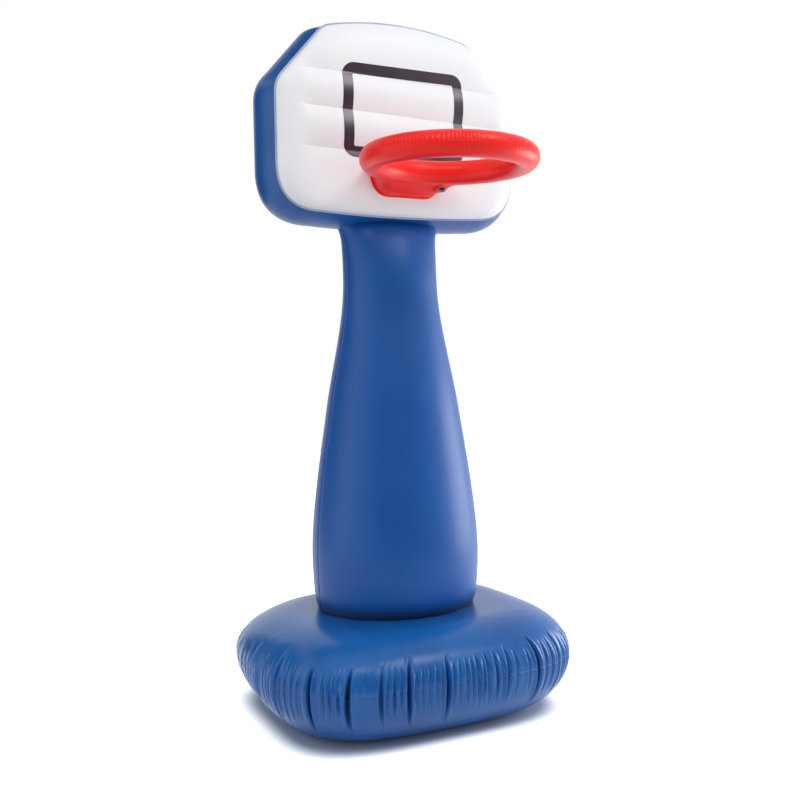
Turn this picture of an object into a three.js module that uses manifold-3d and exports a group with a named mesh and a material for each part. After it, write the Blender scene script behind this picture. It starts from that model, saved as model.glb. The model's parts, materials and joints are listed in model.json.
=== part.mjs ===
// Poolside basketball hoop: a stand of air-filled vinyl film with a water-weighted base, a round
// column, a pillow-shaped backboard and a ring on a padded mount.
// Lengths are in millimetres and +Z is up. The origin is on the floor, on the column's axis, and the
// board faces -Y. Each film panel is a solid of its own, a gap away from the panels it is welded to.

import * as THREE from 'three';
import { mergeVertices } from 'three/addons/utils/BufferGeometryUtils.js';
import Module from 'manifold-3d';

const wasm = await Module();
wasm.setup();

// Film
const filmWall = 1.5; // drawn thick, so that a film of 0.4 can be a solid
const weldGap = 0.3; // between two panels that are welded on the real thing
const overrun = 6; // how far a cutting shape reaches past what it cuts

// Base
const baseWidth = 964;
const baseDepth = 836;
const baseHeight = 299;
const baseSeamHeight = 168;
const baseShift = 24; // the base stands this far forward of the column's axis
const baseRimReach = 174; // from the widest line in to the flat top and the flat foot
const baseSquareness = 3.27; // exponent of the plan's superellipse
const baseRimFullness = 0.9; // below 1 the rim stays wide for longer
const baseSteps = 44;
const baseRimSteps = 6;
const tieRadius = 200;
const tieVentRadius = 30;
const tieVentCount = 6;
const tieSteps = 28;
const ventSteps = 10;

// Column
const columnFootHalfWidth = 245;
const columnFootHalfDepth = 212;
const columnBellyRadius = 259;
const columnHeadHalfWidth = 186;
const columnHeadHalfDepth = 52;
const columnSteps = 32;
// Each row is a height share from foot to head, and a half-width and half-depth share of the belly.
const columnShares = [
  [0.02, 0.974, 0.9],
  [0.055, 0.99, 0.955],
  [0.132, 1, 1],
  [0.215, 0.983, 0.983],
  [0.295, 0.943, 0.943],
  [0.375, 0.893, 0.893],
  [0.455, 0.834, 0.834],
  [0.54, 0.773, 0.773],
  [0.635, 0.69, 0.686],
  [0.72, 0.618, 0.608],
  [0.8, 0.575, 0.545],
  [0.876, 0.571, 0.508],
  [0.925, 0.582, 0.46],
  [0.96, 0.61, 0.39],
];
const columnLeanShare = 0.8; // height share from which the column's centre moves to the board's

// Backboard
const boardBottom = 1491;
const boardTop = 2062;
const boardHalfWidth = 388;
const boardBottomBow = 8;
const boardCornerReach = 110; // how far the lower corner's curve runs along each side
const boardShoulderShare = 0.6427; // of the board's height, where its straight side ends
const boardArchHalfWidth = 240;
const boardArchDrop = 30;
const boardShoulderReach = 34;
const boardArchReach = 22;
const boardSeamFront = -85.5; // where the white front panel is welded to the side band
const boardDepth = 190; // from the front weld to the rear weld
const boardCrest = 46; // how far the front and rear panels swell past their welds
const boardEdgeRoll = 110; // over what width the swell rises
const bandBulge = 32; // at the sides and the bottom
const bandTopBulge = 14;
const grooveShares = [0.3155, 0.5204, 0.7078]; // of the board's height
const grooveDepth = 9;
const grooveHalfLength = 330;
const grooveFade = 60;
const boardColumns = 14;
const boardRowsPerBulge = [6, 4, 4, 5];
const bandSteps = 4;
const bandPast = 60; // how far the band runs past its welds where it cuts the column's head
const outlineSteps = 16; // points along each stretch of the outline
const webWall = 1.2;
const webVentRadius = 16;
const webVentCount = 3;

// Target print on the front panel
const printHalfWidth = 198;
const printClearance = 12.5; // between the mount's flange and the frame
const printHeightShare = 0.6683; // of the board's height above the frame's foot
const printBar = 32;
const printCorner = 38;
const printCornerSteps = 3;
const printWall = 0.5;

// Ring
const ringRadius = 212; // to the middle of the tube
const ringTube = 35;
const ringCentreDepth = -396;
const ringCentreShare = 0.1935; // of the board's height
const ringDroop = 0.03; // radians, the free front hangs lower
const ringSteps = 36;
const ringSectionSteps = 6;

// Padded mount between the ring and the board
const mountHalfWidth = 130;
const mountFootHalfWidth = 110;
const mountFrontSpread = 20; // how much wider it is on each side where it runs into the ring
const mountRise = 31; // top of the mount above the ring's middle
const mountDrop = 52; // foot of the mount below the ring's middle
const mountFrontDrop = 31; // the same at the middle of the ring's tube
const mountCorner = 52;
const mountTopCorner = 14;
const mountSwell = 3;
const mountFlange = 7;
const mountRows = 5;
const mountCornerSteps = 3;

const tetherSteps = 6; // along the strip of a tether or a strap

// Small air valve: a flange on the film, a tube through it, a stopper, its tether and a flap
const airValve = {
  flangeRadius: 11,
  flangeWall: 0.9,
  dish: 3,
  stemRadius: 5.6,
  boreRadius: 3.9,
  rise: 5,
  drop: 8,
  plugLength: 5,
  plugGap: 0.3,
  headRadius: 6.8,
  headWall: 1.6,
  collarWall: 1.1,
  collarHeight: 1.2,
  tetherWall: 0.8,
  tetherWidth: 3.4,
  tetherReach: 6,
  tabLength: 4,
  tabWidth: 4,
  flapRadius: 5.2,
  flapWall: 0.7,
  steps: 14,
};

// Water filler: a flange, a wide neck, a ribbed screw cap, a tether ring over the cap and a flap
const filler = {
  flangeRadius: 27,
  flangeWall: 1.4,
  dish: 6,
  stemRadius: 16,
  boreRadius: 13,
  rise: 13,
  drop: 9,
  capGap: 0.4,
  capWall: 2.2,
  skirtDrop: 9,
  ribDepth: 1.2,
  ribWidth: 2.2,
  ribCount: 10,
  bossRadius: 6,
  bossHeight: 3.4,
  buttonRadius: 8,
  buttonHeight: 1.4,
  ringWall: 3,
  ringHeight: 1.5,
  tetherWall: 1.2,
  tetherWidth: 7,
  tetherReach: 12,
  flapRadius: 14,
  flapWall: 1.1,
  steps: 20,
};
const columnValveHeight = 960;
const boardValveHeight = 1590;
const boardValveSide = 120;
const hoopValveSide = 89;
const hoopValveReach = 102; // in front of the board's front weld
const baseValveAngle = 1.62; // radians from +X, seen from above
const baseValveInset = 100; // from the base's widest line
const fillerAngle = 0.78;
const fillerInset = 125;

// Worked out from the sizes above
const boardSeamRear = boardSeamFront + boardDepth;
const boardCentre = boardSeamFront + boardDepth / 2;
const heightOnBoard = (share) => boardBottom + (boardTop - boardBottom) * share;
const ringCentreHeight = heightOnBoard(ringCentreShare);
const boardShoulderHeight = heightOnBoard(boardShoulderShare);
const grooveHeights = grooveShares.map(heightOnBoard);
const printBottom = ringCentreHeight + mountRise + mountFlange + printClearance;
const printTop = printBottom + (boardTop - printBottom) * printHeightShare;
const footBottom = baseHeight + weldGap;
const columnBottom = footBottom + filmWall + weldGap;
const columnTop = boardBottom + overrun;
const halfGap = weldGap / 2;
const mountBack = boardSeamFront - boardCrest;
const reach = baseWidth + boardTop; // more than the part measures along any axis

// Materials
const finish = (color, roughness) =>
  new THREE.MeshStandardMaterial({ color, roughness, metalness: 0 });
const blueVinyl = () => finish(0x2552a4, 0.42);
const whiteVinyl = () => finish(0xf3f3f6, 0.45);
const redVinyl = () => finish(0xe8332b, 0.33);
const blackPrint = () => finish(0x1c1f22, 0.35);
const clearVinyl = () => finish(0x2b3560, 0.25);

const part = new THREE.Group();

function addPiece(name, geometry, material, parent = part) {
  const mesh = new THREE.Mesh(geometry, material);
  mesh.name = name;
  parent.add(mesh);
  return mesh;
}

// A closed mesh as a solid for joins and cuts, with doubled corners and empty triangles taken out
function toSolid(geometry) {
  const bare = geometry.index ? geometry.clone() : mergeVertices(geometry);
  bare.deleteAttribute('normal');
  bare.deleteAttribute('uv');
  const merged = mergeVertices(bare);
  const corners = [];
  const index = merged.index.array;
  for (let i = 0; i < index.length; i += 3) {
    const [a, b, c] = [index[i], index[i + 1], index[i + 2]];
    if (a !== b && b !== c && c !== a) corners.push(a, b, c);
  }
  const vertProperties = merged.attributes.position.array;
  const triVerts = new Uint32Array(corners);
  return new wasm.Manifold(new wasm.Mesh({ numProp: 3, vertProperties, triVerts }));
}

function toGeometry(solid) {
  const mesh = solid.getMesh();
  const geometry = new THREE.BufferGeometry();
  geometry.setAttribute('position', new THREE.BufferAttribute(mesh.vertProperties, 3));
  geometry.setIndex(new THREE.BufferAttribute(mesh.triVerts, 1));
  geometry.computeVertexNormals();
  return geometry;
}

// Turns a mesh right side out by the sign of its volume
function facingOut(points, triangles) {
  let volume = 0;
  for (let i = 0; i < triangles.length; i += 3) {
    const [a, b, c] = [points[triangles[i]], points[triangles[i + 1]], points[triangles[i + 2]]];
    volume += a.dot(b.clone().cross(c));
  }
  if (volume < 0) triangles.reverse();
  const geometry = new THREE.BufferGeometry().setFromPoints(points);
  geometry.setIndex(triangles);
  return geometry;
}

// Solid through a stack of rings, each of the same even number of points, closed at each end by a
// fan round the middle between the ring's first point and the one across from it
function loft(rings) {
  const count = rings[0].length;
  const points = rings.flat();
  const triangles = [];
  for (let r = 0; r + 1 < rings.length; r++) {
    for (let i = 0; i < count; i++) {
      const a = r * count + i;
      const b = r * count + ((i + 1) % count);
      triangles.push(a, b, b + count, a, b + count, a + count);
    }
  }
  [0, rings.length - 1].forEach((r, end) => {
    const hub = points.push(rings[r][0].clone().lerp(rings[r][count / 2], 0.5)) - 1;
    for (let i = 0; i < count; i++) {
      const fan = [r * count + ((i + 1) % count), r * count + i, hub];
      triangles.push(...(end ? fan.reverse() : fan));
    }
  });
  return toSolid(facingOut(points, triangles));
}

// Box between two corners
function block(low, high) {
  const size = high.clone().sub(low);
  const middle = low.clone().add(high).multiplyScalar(0.5);
  const box = new THREE.BoxGeometry(size.x, size.y, size.z);
  return toSolid(box.translate(middle.x, middle.y, middle.z));
}

// Everything on one side of a plane across an axis, as far as the part reaches
function halfSpace(axis, from, sign) {
  const low = new THREE.Vector3(-reach, -reach, -reach);
  const high = new THREE.Vector3(reach, reach, reach);
  (sign > 0 ? low : high)[axis] = from;
  return block(low, high);
}

// Round bar along Z
function bar(radius, bottom, top, steps) {
  const cylinder = new THREE.CylinderGeometry(radius, radius, top - bottom, steps);
  return toSolid(cylinder.rotateX(Math.PI / 2).translate(0, 0, (bottom + top) / 2));
}

// Profile of [radius, height] pairs turned round Z
function turned(profile, steps) {
  const points = profile.map(([radius, height]) => new THREE.Vector2(radius, height));
  return new THREE.LatheGeometry(points, steps).rotateX(Math.PI / 2);
}

// Base: rings of a superellipse, drawn in towards the top and the foot by an elliptical rim
function baseRing(inset, height) {
  const [halfX, halfY] = [baseWidth / 2 - inset, baseDepth / 2 - inset];
  const ring = [];
  for (let i = 0; i < baseSteps; i++) {
    const angle = (i / baseSteps) * 2 * Math.PI;
    const across = Math.abs(Math.cos(angle) / halfX) ** baseSquareness;
    const along = Math.abs(Math.sin(angle) / halfY) ** baseSquareness;
    const radius = (across + along) ** (-1 / baseSquareness);
    const [x, y] = [radius * Math.cos(angle), radius * Math.sin(angle)];
    ring.push(new THREE.Vector3(x, y - baseShift, height));
  }
  return ring;
}

// The base's chamber, with its skin moved in by shrink
function baseSolid(shrink) {
  const rings = [];
  for (let i = -baseRimSteps; i <= baseRimSteps; i++) {
    const turn = (i / baseRimSteps) * (Math.PI / 2);
    const inset = (baseRimReach - shrink) * (1 - Math.cos(turn) ** baseRimFullness) + shrink;
    const span = i < 0 ? baseSeamHeight - shrink : baseHeight - baseSeamHeight - shrink;
    rings.push(baseRing(inset, baseSeamHeight + span * Math.sin(turn)));
  }
  return loft(rings);
}

// Column: rings of ellipses through the rows of shares
function columnRings(shrink) {
  const height = columnTop - columnBottom;
  const middles = columnShares.map(
    ([up, wide, deep]) =>
      new THREE.Vector3(wide * columnBellyRadius, deep * columnBellyRadius, up * height),
  );
  const foot = new THREE.Vector3(columnFootHalfWidth, columnFootHalfDepth, 0);
  const head = new THREE.Vector3(columnHeadHalfWidth, columnHeadHalfDepth, height);
  const curve = new THREE.CatmullRomCurve3([foot, ...middles, head]);
  return curve.getPoints(middles.length + 1).map(({ x, y, z }) => {
    const lean = Math.max(0, z / height - columnLeanShare) / (1 - columnLeanShare);
    return columnRing(x - shrink, y - shrink, lean ** 2 * boardCentre, columnBottom + z);
  });
}

function columnRing(halfX, halfY, middleY, height) {
  const ring = [];
  for (let i = 0; i < columnSteps; i++) {
    const angle = ((i + 0.5) / columnSteps) * 2 * Math.PI;
    ring.push(new THREE.Vector3(halfX * Math.cos(angle), middleY + halfY * Math.sin(angle), height));
  }
  return ring;
}

// The column's chamber; past is how far it runs on at the foot and the head
function columnSolid(shrink, past = 0) {
  const rings = columnRings(shrink);
  const lower = rings[0].map((point) => point.clone().setZ(point.z - past));
  const upper = rings.at(-1).map((point) => point.clone().setZ(point.z + past));
  return loft(past ? [lower, ...rings, upper] : rings);
}

// Right half of the board's outline in X and Z, from the middle of the bottom to the middle of the top
function boardHalfOutline() {
  const path = new THREE.Path();
  const corner = boardBottom + boardBottomBow;
  const archEnd = new THREE.Vector2(boardArchHalfWidth, boardTop - boardArchDrop);
  const shoulder = new THREE.Vector2(boardHalfWidth, boardShoulderHeight);
  const chamfer = archEnd.clone().sub(shoulder).normalize();
  const shoulderEnd = shoulder.clone().addScaledVector(chamfer, boardShoulderReach);
  const archStart = archEnd.clone().addScaledVector(chamfer, -boardArchReach);
  const flat = boardHalfWidth - boardCornerReach;
  const archX = boardArchHalfWidth - boardArchReach;
  const archZ = boardTop - boardArchDrop * (archX / boardArchHalfWidth) ** 2;
  path.moveTo(0, boardBottom);
  path.quadraticCurveTo(flat / 2, boardBottom, flat, corner);
  path.quadraticCurveTo(boardHalfWidth, corner, boardHalfWidth, corner + boardCornerReach);
  path.lineTo(boardHalfWidth, boardShoulderHeight - boardShoulderReach);
  path.quadraticCurveTo(boardHalfWidth, boardShoulderHeight, shoulderEnd.x, shoulderEnd.y);
  path.lineTo(archStart.x, archStart.y);
  path.quadraticCurveTo(archEnd.x, archEnd.y, archX, archZ);
  path.quadraticCurveTo(archX / 2, boardTop, 0, boardTop);
  return path.getPoints(outlineSteps);
}

// The half outline moved out by grow along its normals
function grownOutline(grow) {
  const line = boardHalfOutline();
  return line.map((point, i) => {
    const before = line[Math.max(i - 1, 0)];
    const after = line[Math.min(i + 1, line.length - 1)];
    const along = after.clone().sub(before).normalize();
    const moved = new THREE.Vector2(point.x + along.y * grow, point.y - along.x * grow);
    if (i === 0 || i === line.length - 1) moved.x = 0;
    return moved;
  });
}

// Point of an outline where one coordinate reaches a value, searched from either end
function pointWhere(line, key, value) {
  for (let i = 0; i + 1 < line.length; i++) {
    const [a, b] = [line[i], line[i + 1]];
    if ((a[key] - value) * (b[key] - value) <= 0 && a[key] !== b[key]) {
      return a.clone().lerp(b, (value - a[key]) / (b[key] - a[key]));
    }
  }
  return line.at(-1).clone();
}

// Shortest distance from a point to the whole outline, both halves
function edgeDistance(line, x, z) {
  const point = new THREE.Vector2(Math.abs(x), z);
  let nearest = Infinity;
  for (let i = 0; i + 1 < line.length; i++) {
    const side = line[i + 1].clone().sub(line[i]);
    const share = point.clone().sub(line[i]).dot(side) / side.lengthSq();
    const foot = line[i].clone().addScaledVector(side, Math.min(1, Math.max(0, share)));
    nearest = Math.min(nearest, foot.distanceTo(point));
  }
  return nearest;
}

// Heights between which the panels swell: the edges and the welded grooves
function bulgeLimits(line) {
  const low = line.find((point, i) => i && steepnessAt(line, i) > 1);
  const high = pointWhere(line.slice(line.length / 2), 'x', boardArchHalfWidth);
  return [low.y, ...grooveHeights, high.y];
}

function steepnessAt(line, i) {
  return (line[i].y - line[i - 1].y) / Math.abs(line[i].x - line[i - 1].x);
}

// Grid of [x, z] places over the board: its rows follow the bottom edge, the grooves and the arch,
// closer together beside each groove, and its columns are closer together at the sides
function boardGrid(line) {
  const limits = bulgeLimits(line);
  const sides = line.filter((point) => point.y >= limits[0] && point.y <= limits.at(-1));
  const lowerEdge = line.slice(0, line.indexOf(sides[0]) + 1);
  const upperEdge = line.slice(line.indexOf(sides.at(-1)) - 1).reverse();
  const rows = [];
  boardRowsPerBulge.forEach((count, b) => {
    const last = b === boardRowsPerBulge.length - 1;
    for (let i = 0; i <= count - (last ? 0 : 1); i++) {
      const share = (1 - Math.cos((Math.PI * i) / count)) / 2;
      const height = limits[b] + (limits[b + 1] - limits[b]) * share;
      const edge = b === 0 ? lowerEdge : upperEdge;
      const pull = b === 0 ? 1 - share : last ? share : 0;
      rows.push(gridRow(line, edge, height, b === 0 ? limits[0] : limits.at(-1), pull));
    }
  });
  return rows;
}

function gridRow(line, edge, height, edgeHeight, pull) {
  const side = pointWhere(line, 'y', height).x;
  const edgeSide = pointWhere(line, 'y', edgeHeight).x;
  const row = [];
  for (let j = 0; j <= boardColumns; j++) {
    const across = Math.sin((j / boardColumns - 0.5) * Math.PI);
    const edgeX = Math.abs(across) * edgeSide;
    const bow = pointWhere(edge, 'x', edgeX).y - edgeHeight;
    row.push([across * side, height + (Math.abs(across) < 1 ? pull * bow : 0)]);
  }
  return row;
}

// How far a panel stands out from its weld at a place: an elliptical roll at the edge, less the
// valleys that the inner webs pull in between the bulges
function panelRise(line, grow, x, z) {
  const roll = boardEdgeRoll + grow;
  const inward = 1 - Math.min(1, edgeDistance(line, x, z) / roll);
  const swell = Math.sqrt(1 - inward ** 2);
  const fade = Math.min(1, Math.max(0, (grooveHalfLength - Math.abs(x)) / grooveFade));
  const limits = [boardBottom, ...grooveHeights, boardTop];
  const b = Math.max(0, limits.findLastIndex((limit, i) => i < limits.length - 1 && z >= limit));
  const place = (2 * (z - limits[b])) / (limits[b + 1] - limits[b]) - 1;
  const toGroove = (b === 0 && place < 0) || (b === limits.length - 2 && place > 0) ? 0 : place ** 2;
  return swell * (boardCrest + grow - grooveDepth * toGroove * fade);
}

// Pillow-shaped solid of one panel of the board, from its swollen face back to a flat plane.
// facing is -1 for the front panel and 1 for the rear panel.
function panelSolid(facing, grow, backing = 0) {
  const line = grownOutline(grow);
  const rows = boardGrid(line);
  const seam = facing < 0 ? boardSeamFront - halfGap : boardSeamRear + halfGap;
  const [height, width] = [rows.length, rows[0].length];
  const points = [];
  const edge = (r, c) => r === 0 || c === 0 || r === height - 1 || c === width - 1;
  rows.forEach((row, r) =>
    row.forEach(([x, z], c) => {
      const rise = edge(r, c) ? 0 : panelRise(line, grow, x, z);
      points.push(new THREE.Vector3(x, seam + facing * rise, z));
    }),
  );
  rows.forEach((row) =>
    row.forEach(([x, z]) => points.push(new THREE.Vector3(x, seam - facing * backing, z))),
  );
  return toSolid(facingOut(points, panelTriangles(height, width, backing > 0)));
}

function panelTriangles(height, width, walled) {
  const triangles = [];
  const back = height * width;
  for (let r = 0; r + 1 < height; r++) {
    for (let c = 0; c + 1 < width; c++) {
      const a = r * width + c;
      const [b, d, e] = [a + 1, a + width, a + width + 1];
      triangles.push(a, b, e, a, e, d);
      triangles.push(back + a, back + e, back + b, back + a, back + d, back + e);
    }
  }
  if (!walled) return triangles;
  const loop = edgeLoop(height, width);
  loop.forEach((a, i) => {
    const b = loop[(i + 1) % loop.length];
    triangles.push(a, back + a, back + b, a, back + b, b);
  });
  return triangles;
}

// Numbers of a grid's edge points, once round
function edgeLoop(height, width) {
  const loop = [];
  for (let c = 0; c < width - 1; c++) loop.push(c);
  for (let r = 0; r < height - 1; r++) loop.push(r * width + width - 1);
  for (let c = width - 1; c > 0; c--) loop.push((height - 1) * width + c);
  for (let r = height - 1; r > 0; r--) loop.push(r * width);
  return loop;
}

// Side band: the outline carried from the front weld to the rear weld, swelling out between them
function bandSolid(grow, past = 0) {
  const rows = boardGrid(grownOutline(0));
  const places = rows.flat();
  const loop = edgeLoop(rows.length, rows[0].length).map((i) => places[i]);
  const sections = [];
  for (let s = 0; s <= bandSteps; s++) {
    const share = s / bandSteps;
    const depth = boardSeamFront + halfGap + (boardDepth - weldGap) * share;
    sections.push([depth, Math.sin(Math.PI * share)]);
  }
  if (past) {
    sections.unshift([boardSeamFront - past, 0]);
    sections.push([boardSeamRear + past, 0]);
  }
  const ringAt = ([depth, swell]) => loop.map((_, i) => bandPoint(loop, i, depth, swell, grow));
  return loft(sections.map(ringAt));
}

// Point of the band, moved out along the outline's normal, less where the normal points up
function bandPoint(loop, i, depth, swell, grow) {
  const before = loop[(i + loop.length - 1) % loop.length];
  const after = loop[(i + 1) % loop.length];
  const along = new THREE.Vector2(after[0] - before[0], after[1] - before[1]).normalize();
  const upward = Math.max(0, -along.x) ** 4;
  const out = grow + swell * (bandBulge + (bandTopBulge - bandBulge) * upward);
  return new THREE.Vector3(loop[i][0] + along.y * out, depth, loop[i][1] - along.x * out);
}

// Flat rectangle with round corners, in X and Z, as a solid that reaches from one depth to another
function slabShape(halfWidth, bottom, top, corner) {
  const shape = new THREE.Shape();
  shape.moveTo(-halfWidth + corner, bottom);
  shape.lineTo(halfWidth - corner, bottom);
  shape.absarc(halfWidth - corner, bottom + corner, corner, -Math.PI / 2, 0);
  shape.absarc(halfWidth - corner, top - corner, corner, 0, Math.PI / 2);
  shape.absarc(-halfWidth + corner, top - corner, corner, Math.PI / 2, Math.PI);
  shape.absarc(-halfWidth + corner, bottom + corner, corner, Math.PI, 1.5 * Math.PI);
  shape.closePath();
  return shape;
}

function extrudedBack(shape, from, to, curveSegments) {
  const settings = { depth: to - from, bevelEnabled: false, curveSegments };
  const geometry = new THREE.ExtrudeGeometry(shape, settings);
  return toSolid(geometry.rotateX(Math.PI / 2).translate(0, to, 0));
}

// Ring: half a tube section, turned round the ring's own axis
function ringSkin(sign) {
  const profile = [];
  for (const radius of [ringTube, ringTube - filmWall]) {
    const start = Math.asin(halfGap / radius);
    for (let i = 0; i <= ringSectionSteps; i++) {
      const step = radius === ringTube ? i : ringSectionSteps - i;
      const angle = start + ((Math.PI - 2 * start) * step) / ringSectionSteps;
      profile.push([
        ringRadius + radius * Math.cos(angle),
        sign * radius * Math.sin(angle),
      ]);
    }
  }
  if (sign < 0) profile.reverse();
  profile.push(profile[0]);
  return turned(profile, ringSteps);
}

const ringPlace = new THREE.Matrix4()
  .makeTranslation(0, ringCentreDepth, ringCentreHeight)
  .multiply(new THREE.Matrix4().makeRotationX(ringDroop));

// The ring's tube, which the mount's film stops at
function ringSolid(grow) {
  const profile = [];
  for (let i = 0; i <= ringSectionSteps * 2; i++) {
    const angle = (Math.PI * i) / ringSectionSteps;
    const radius = ringTube + grow;
    profile.push([ringRadius + radius * Math.cos(angle), radius * Math.sin(angle)]);
  }
  return toSolid(turned(profile, ringSteps).applyMatrix4(ringPlace));
}

// Mount: rings in X and Z from the board to the middle of the ring's tube, whose curve they come to
// follow. Share is 0 at the board and 1 in the tube.
function mountSection(share, shrink) {
  const swell = mountSwell * Math.sin(Math.PI * share) - shrink;
  const low = ringCentreHeight - mountDrop + (mountDrop - mountFrontDrop) * share ** 2 - swell;
  const high = ringCentreHeight + mountRise + swell;
  const spread = swell + mountFrontSpread * Math.sqrt(share);
  const corners = [
    [mountFootHalfWidth + spread, low, mountCorner],
    [mountHalfWidth + spread, high, mountTopCorner],
  ];
  const arcs = corners.flatMap(([x, z, radius], c) => cornerArc(x, z, radius, c));
  const right = [[arcs[0][0] / 3, low], ...arcs, [arcs.at(-1)[0] / 3, high]];
  const left = right.map(([x, z]) => [-x, z]).reverse();
  return [...right, ...left].map(([x, z]) => {
    const middle = ringCentreDepth + Math.sqrt(ringRadius ** 2 - x ** 2);
    return new THREE.Vector3(x, mountBack + (middle - mountBack) * share, z);
  });
}

// Quarter arc that rounds a lower or an upper right corner
function cornerArc(x, z, radius, upper) {
  const arc = [];
  for (let i = 0; i <= mountCornerSteps; i++) {
    const angle = ((upper ? i : i - mountCornerSteps) / mountCornerSteps) * (Math.PI / 2);
    const middle = upper ? z - radius : z + radius;
    arc.push([x - radius + radius * Math.cos(angle), middle + radius * Math.sin(angle)]);
  }
  return arc;
}

function mountSolid(shrink) {
  const sections = [mountSection(0, shrink).map((point) => point.setY(boardSeamFront))];
  for (let i = 0; i <= mountRows; i++) sections.push(mountSection(i / mountRows, shrink));
  return loft(sections);
}

// A ring skin, left out where the ring's chamber opens into the mount's
function openRingSkin(sign) {
  const mount = mountSolid(-weldGap).transform(ringPlace.clone().invert().elements);
  return toGeometry(largest(toSolid(ringSkin(sign)).subtract(mount)));
}

// The largest body of a cut piece, without the offcuts
function largest(solid) {
  return solid.decompose().sort((a, b) => b.volume() - a.volume())[0];
}

// Seat of a valve: where a ray first meets a skin, with +Z standing out of it
function seatOn(solid, from, towards) {
  const target = new THREE.Mesh(toGeometry(solid), new THREE.MeshBasicMaterial());
  const direction = towards.clone().sub(from).normalize();
  const [hit] = new THREE.Raycaster(from, direction).intersectObject(target);
  const turn = new THREE.Quaternion();
  turn.setFromUnitVectors(new THREE.Vector3(0, 0, 1), hit.face.normal.clone());
  return new THREE.Matrix4().compose(hit.point, turn, new THREE.Vector3(1, 1, 1));
}

function seatGroup(seat) {
  const group = new THREE.Group();
  seat.decompose(group.position, group.quaternion, group.scale);
  part.add(group);
  return group;
}

// Hole in a film panel for a valve's tube
function tubeHole(size, seat) {
  const hole = bar(size.stemRadius + weldGap, -size.drop, size.rise, size.steps);
  return hole.transform(seat.elements);
}

// Flange that lies on the film, joined to a tube through it
function valveBody(size, seat, skin) {
  const film = skin.transform(seat.clone().invert().elements);
  const flange = bar(size.flangeRadius, -size.dish, size.flangeWall, size.steps * 2);
  const tube = bar(size.stemRadius, -size.drop, size.rise, size.steps);
  const bore = bar(size.boreRadius, -size.drop - overrun, size.rise + overrun, size.steps);
  return toGeometry(flange.subtract(film).add(tube).subtract(bore));
}

// Strip of a given width that follows a curve in X and Z
function strip(curve, wall, width) {
  const middle = curve.getPoints(tetherSteps);
  const offset = (side) =>
    middle.map((point, i) => {
      const along = curve.getTangent(i / (middle.length - 1));
      return new THREE.Vector2(point.x - along.y * side, point.y + along.x * side);
    });
  const outline = [...offset(wall / 2), ...offset(-wall / 2).reverse()];
  const shape = new THREE.Shape(outline);
  const settings = { depth: width, bevelEnabled: false };
  const geometry = new THREE.ExtrudeGeometry(shape, settings);
  return toSolid(geometry.rotateX(Math.PI / 2).translate(0, width / 2, 0));
}

// Stopper: a plug in the tube's bore under a flat head with a pull tab
function stopper(size) {
  const under = size.rise + weldGap;
  const plug = size.boreRadius - size.plugGap;
  const round = toSolid(
    turned(
      [
        [0, under - size.plugLength],
        [plug, under - size.plugLength],
        [plug, under],
        [size.headRadius, under],
        [size.headRadius, under + size.headWall],
        [0, under + size.headWall],
      ],
      size.steps,
    ),
  );
  const tab = block(
    new THREE.Vector3(-size.headRadius - size.tabLength, -size.tabWidth / 2, under),
    new THREE.Vector3(-size.headRadius / 2, size.tabWidth / 2, under + size.headWall / 2),
  );
  return toGeometry(round.add(tab));
}

// Tether: a collar round the tube and a strip that loops out from it to the stopper's head
function stopperTether(size) {
  const bottom = size.flangeWall + weldGap;
  const inner = size.stemRadius + weldGap;
  const outer = inner + size.collarWall;
  const collar = bar(outer, bottom, bottom + size.collarHeight, size.steps).subtract(
    bar(inner, bottom - overrun, bottom + size.collarHeight + overrun, size.steps),
  );
  const headMiddle = size.rise + weldGap + size.headWall / 2;
  const start = new THREE.Vector2((inner + outer) / 2, bottom + size.collarHeight / 2);
  const end = new THREE.Vector2(size.headRadius + weldGap, headMiddle);
  const out = new THREE.Vector2(size.tetherReach, 0);
  const loop = new THREE.CubicBezierCurve(start, start.clone().add(out), end.clone().add(out), end);
  return toGeometry(collar.add(strip(loop, size.tetherWall, size.tetherWidth)));
}

// Non-return flap under the tube
function flap(size) {
  const top = -size.drop - weldGap;
  return toGeometry(bar(size.flapRadius, top - size.flapWall, top, size.steps));
}

function addAirValve(name, seat, skin) {
  const group = seatGroup(seat);
  addPiece(`${name}_valve_body`, valveBody(airValve, seat, skin), clearVinyl(), group);
  addPiece(`${name}_valve_stopper`, stopper(airValve), clearVinyl(), group);
  addPiece(`${name}_valve_tether`, stopperTether(airValve), clearVinyl(), group);
  addPiece(`${name}_valve_flap`, flap(airValve), clearVinyl(), group);
}

// Screw cap: a ribbed skirt round the neck, a boss for the tether ring and a button that keeps it on
function fillerCap(size) {
  const inner = size.stemRadius + size.capGap;
  const outer = inner + size.capWall;
  const under = size.rise + size.capGap;
  const top = under + size.capWall;
  const bossTop = top + size.bossHeight;
  const profile = [
    [0, under],
    [inner, under],
    [inner, size.rise - size.skirtDrop],
    [outer, size.rise - size.skirtDrop],
    [outer, top],
    [size.bossRadius, top],
    [size.bossRadius, bossTop],
    [size.buttonRadius, bossTop],
    [size.buttonRadius, bossTop + size.buttonHeight],
    [0, bossTop + size.buttonHeight],
  ];
  let cap = toSolid(turned(profile, size.steps));
  for (let i = 0; i < size.ribCount; i++) {
    const rib = block(
      new THREE.Vector3(outer - size.capWall / 2, -size.ribWidth / 2, size.rise - size.skirtDrop),
      new THREE.Vector3(outer + size.ribDepth, size.ribWidth / 2, top - size.capWall / 2),
    );
    const turn = new THREE.Matrix4().makeRotationZ((i / size.ribCount) * 2 * Math.PI);
    cap = cap.add(rib.transform(turn.elements));
  }
  return toGeometry(cap);
}

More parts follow.
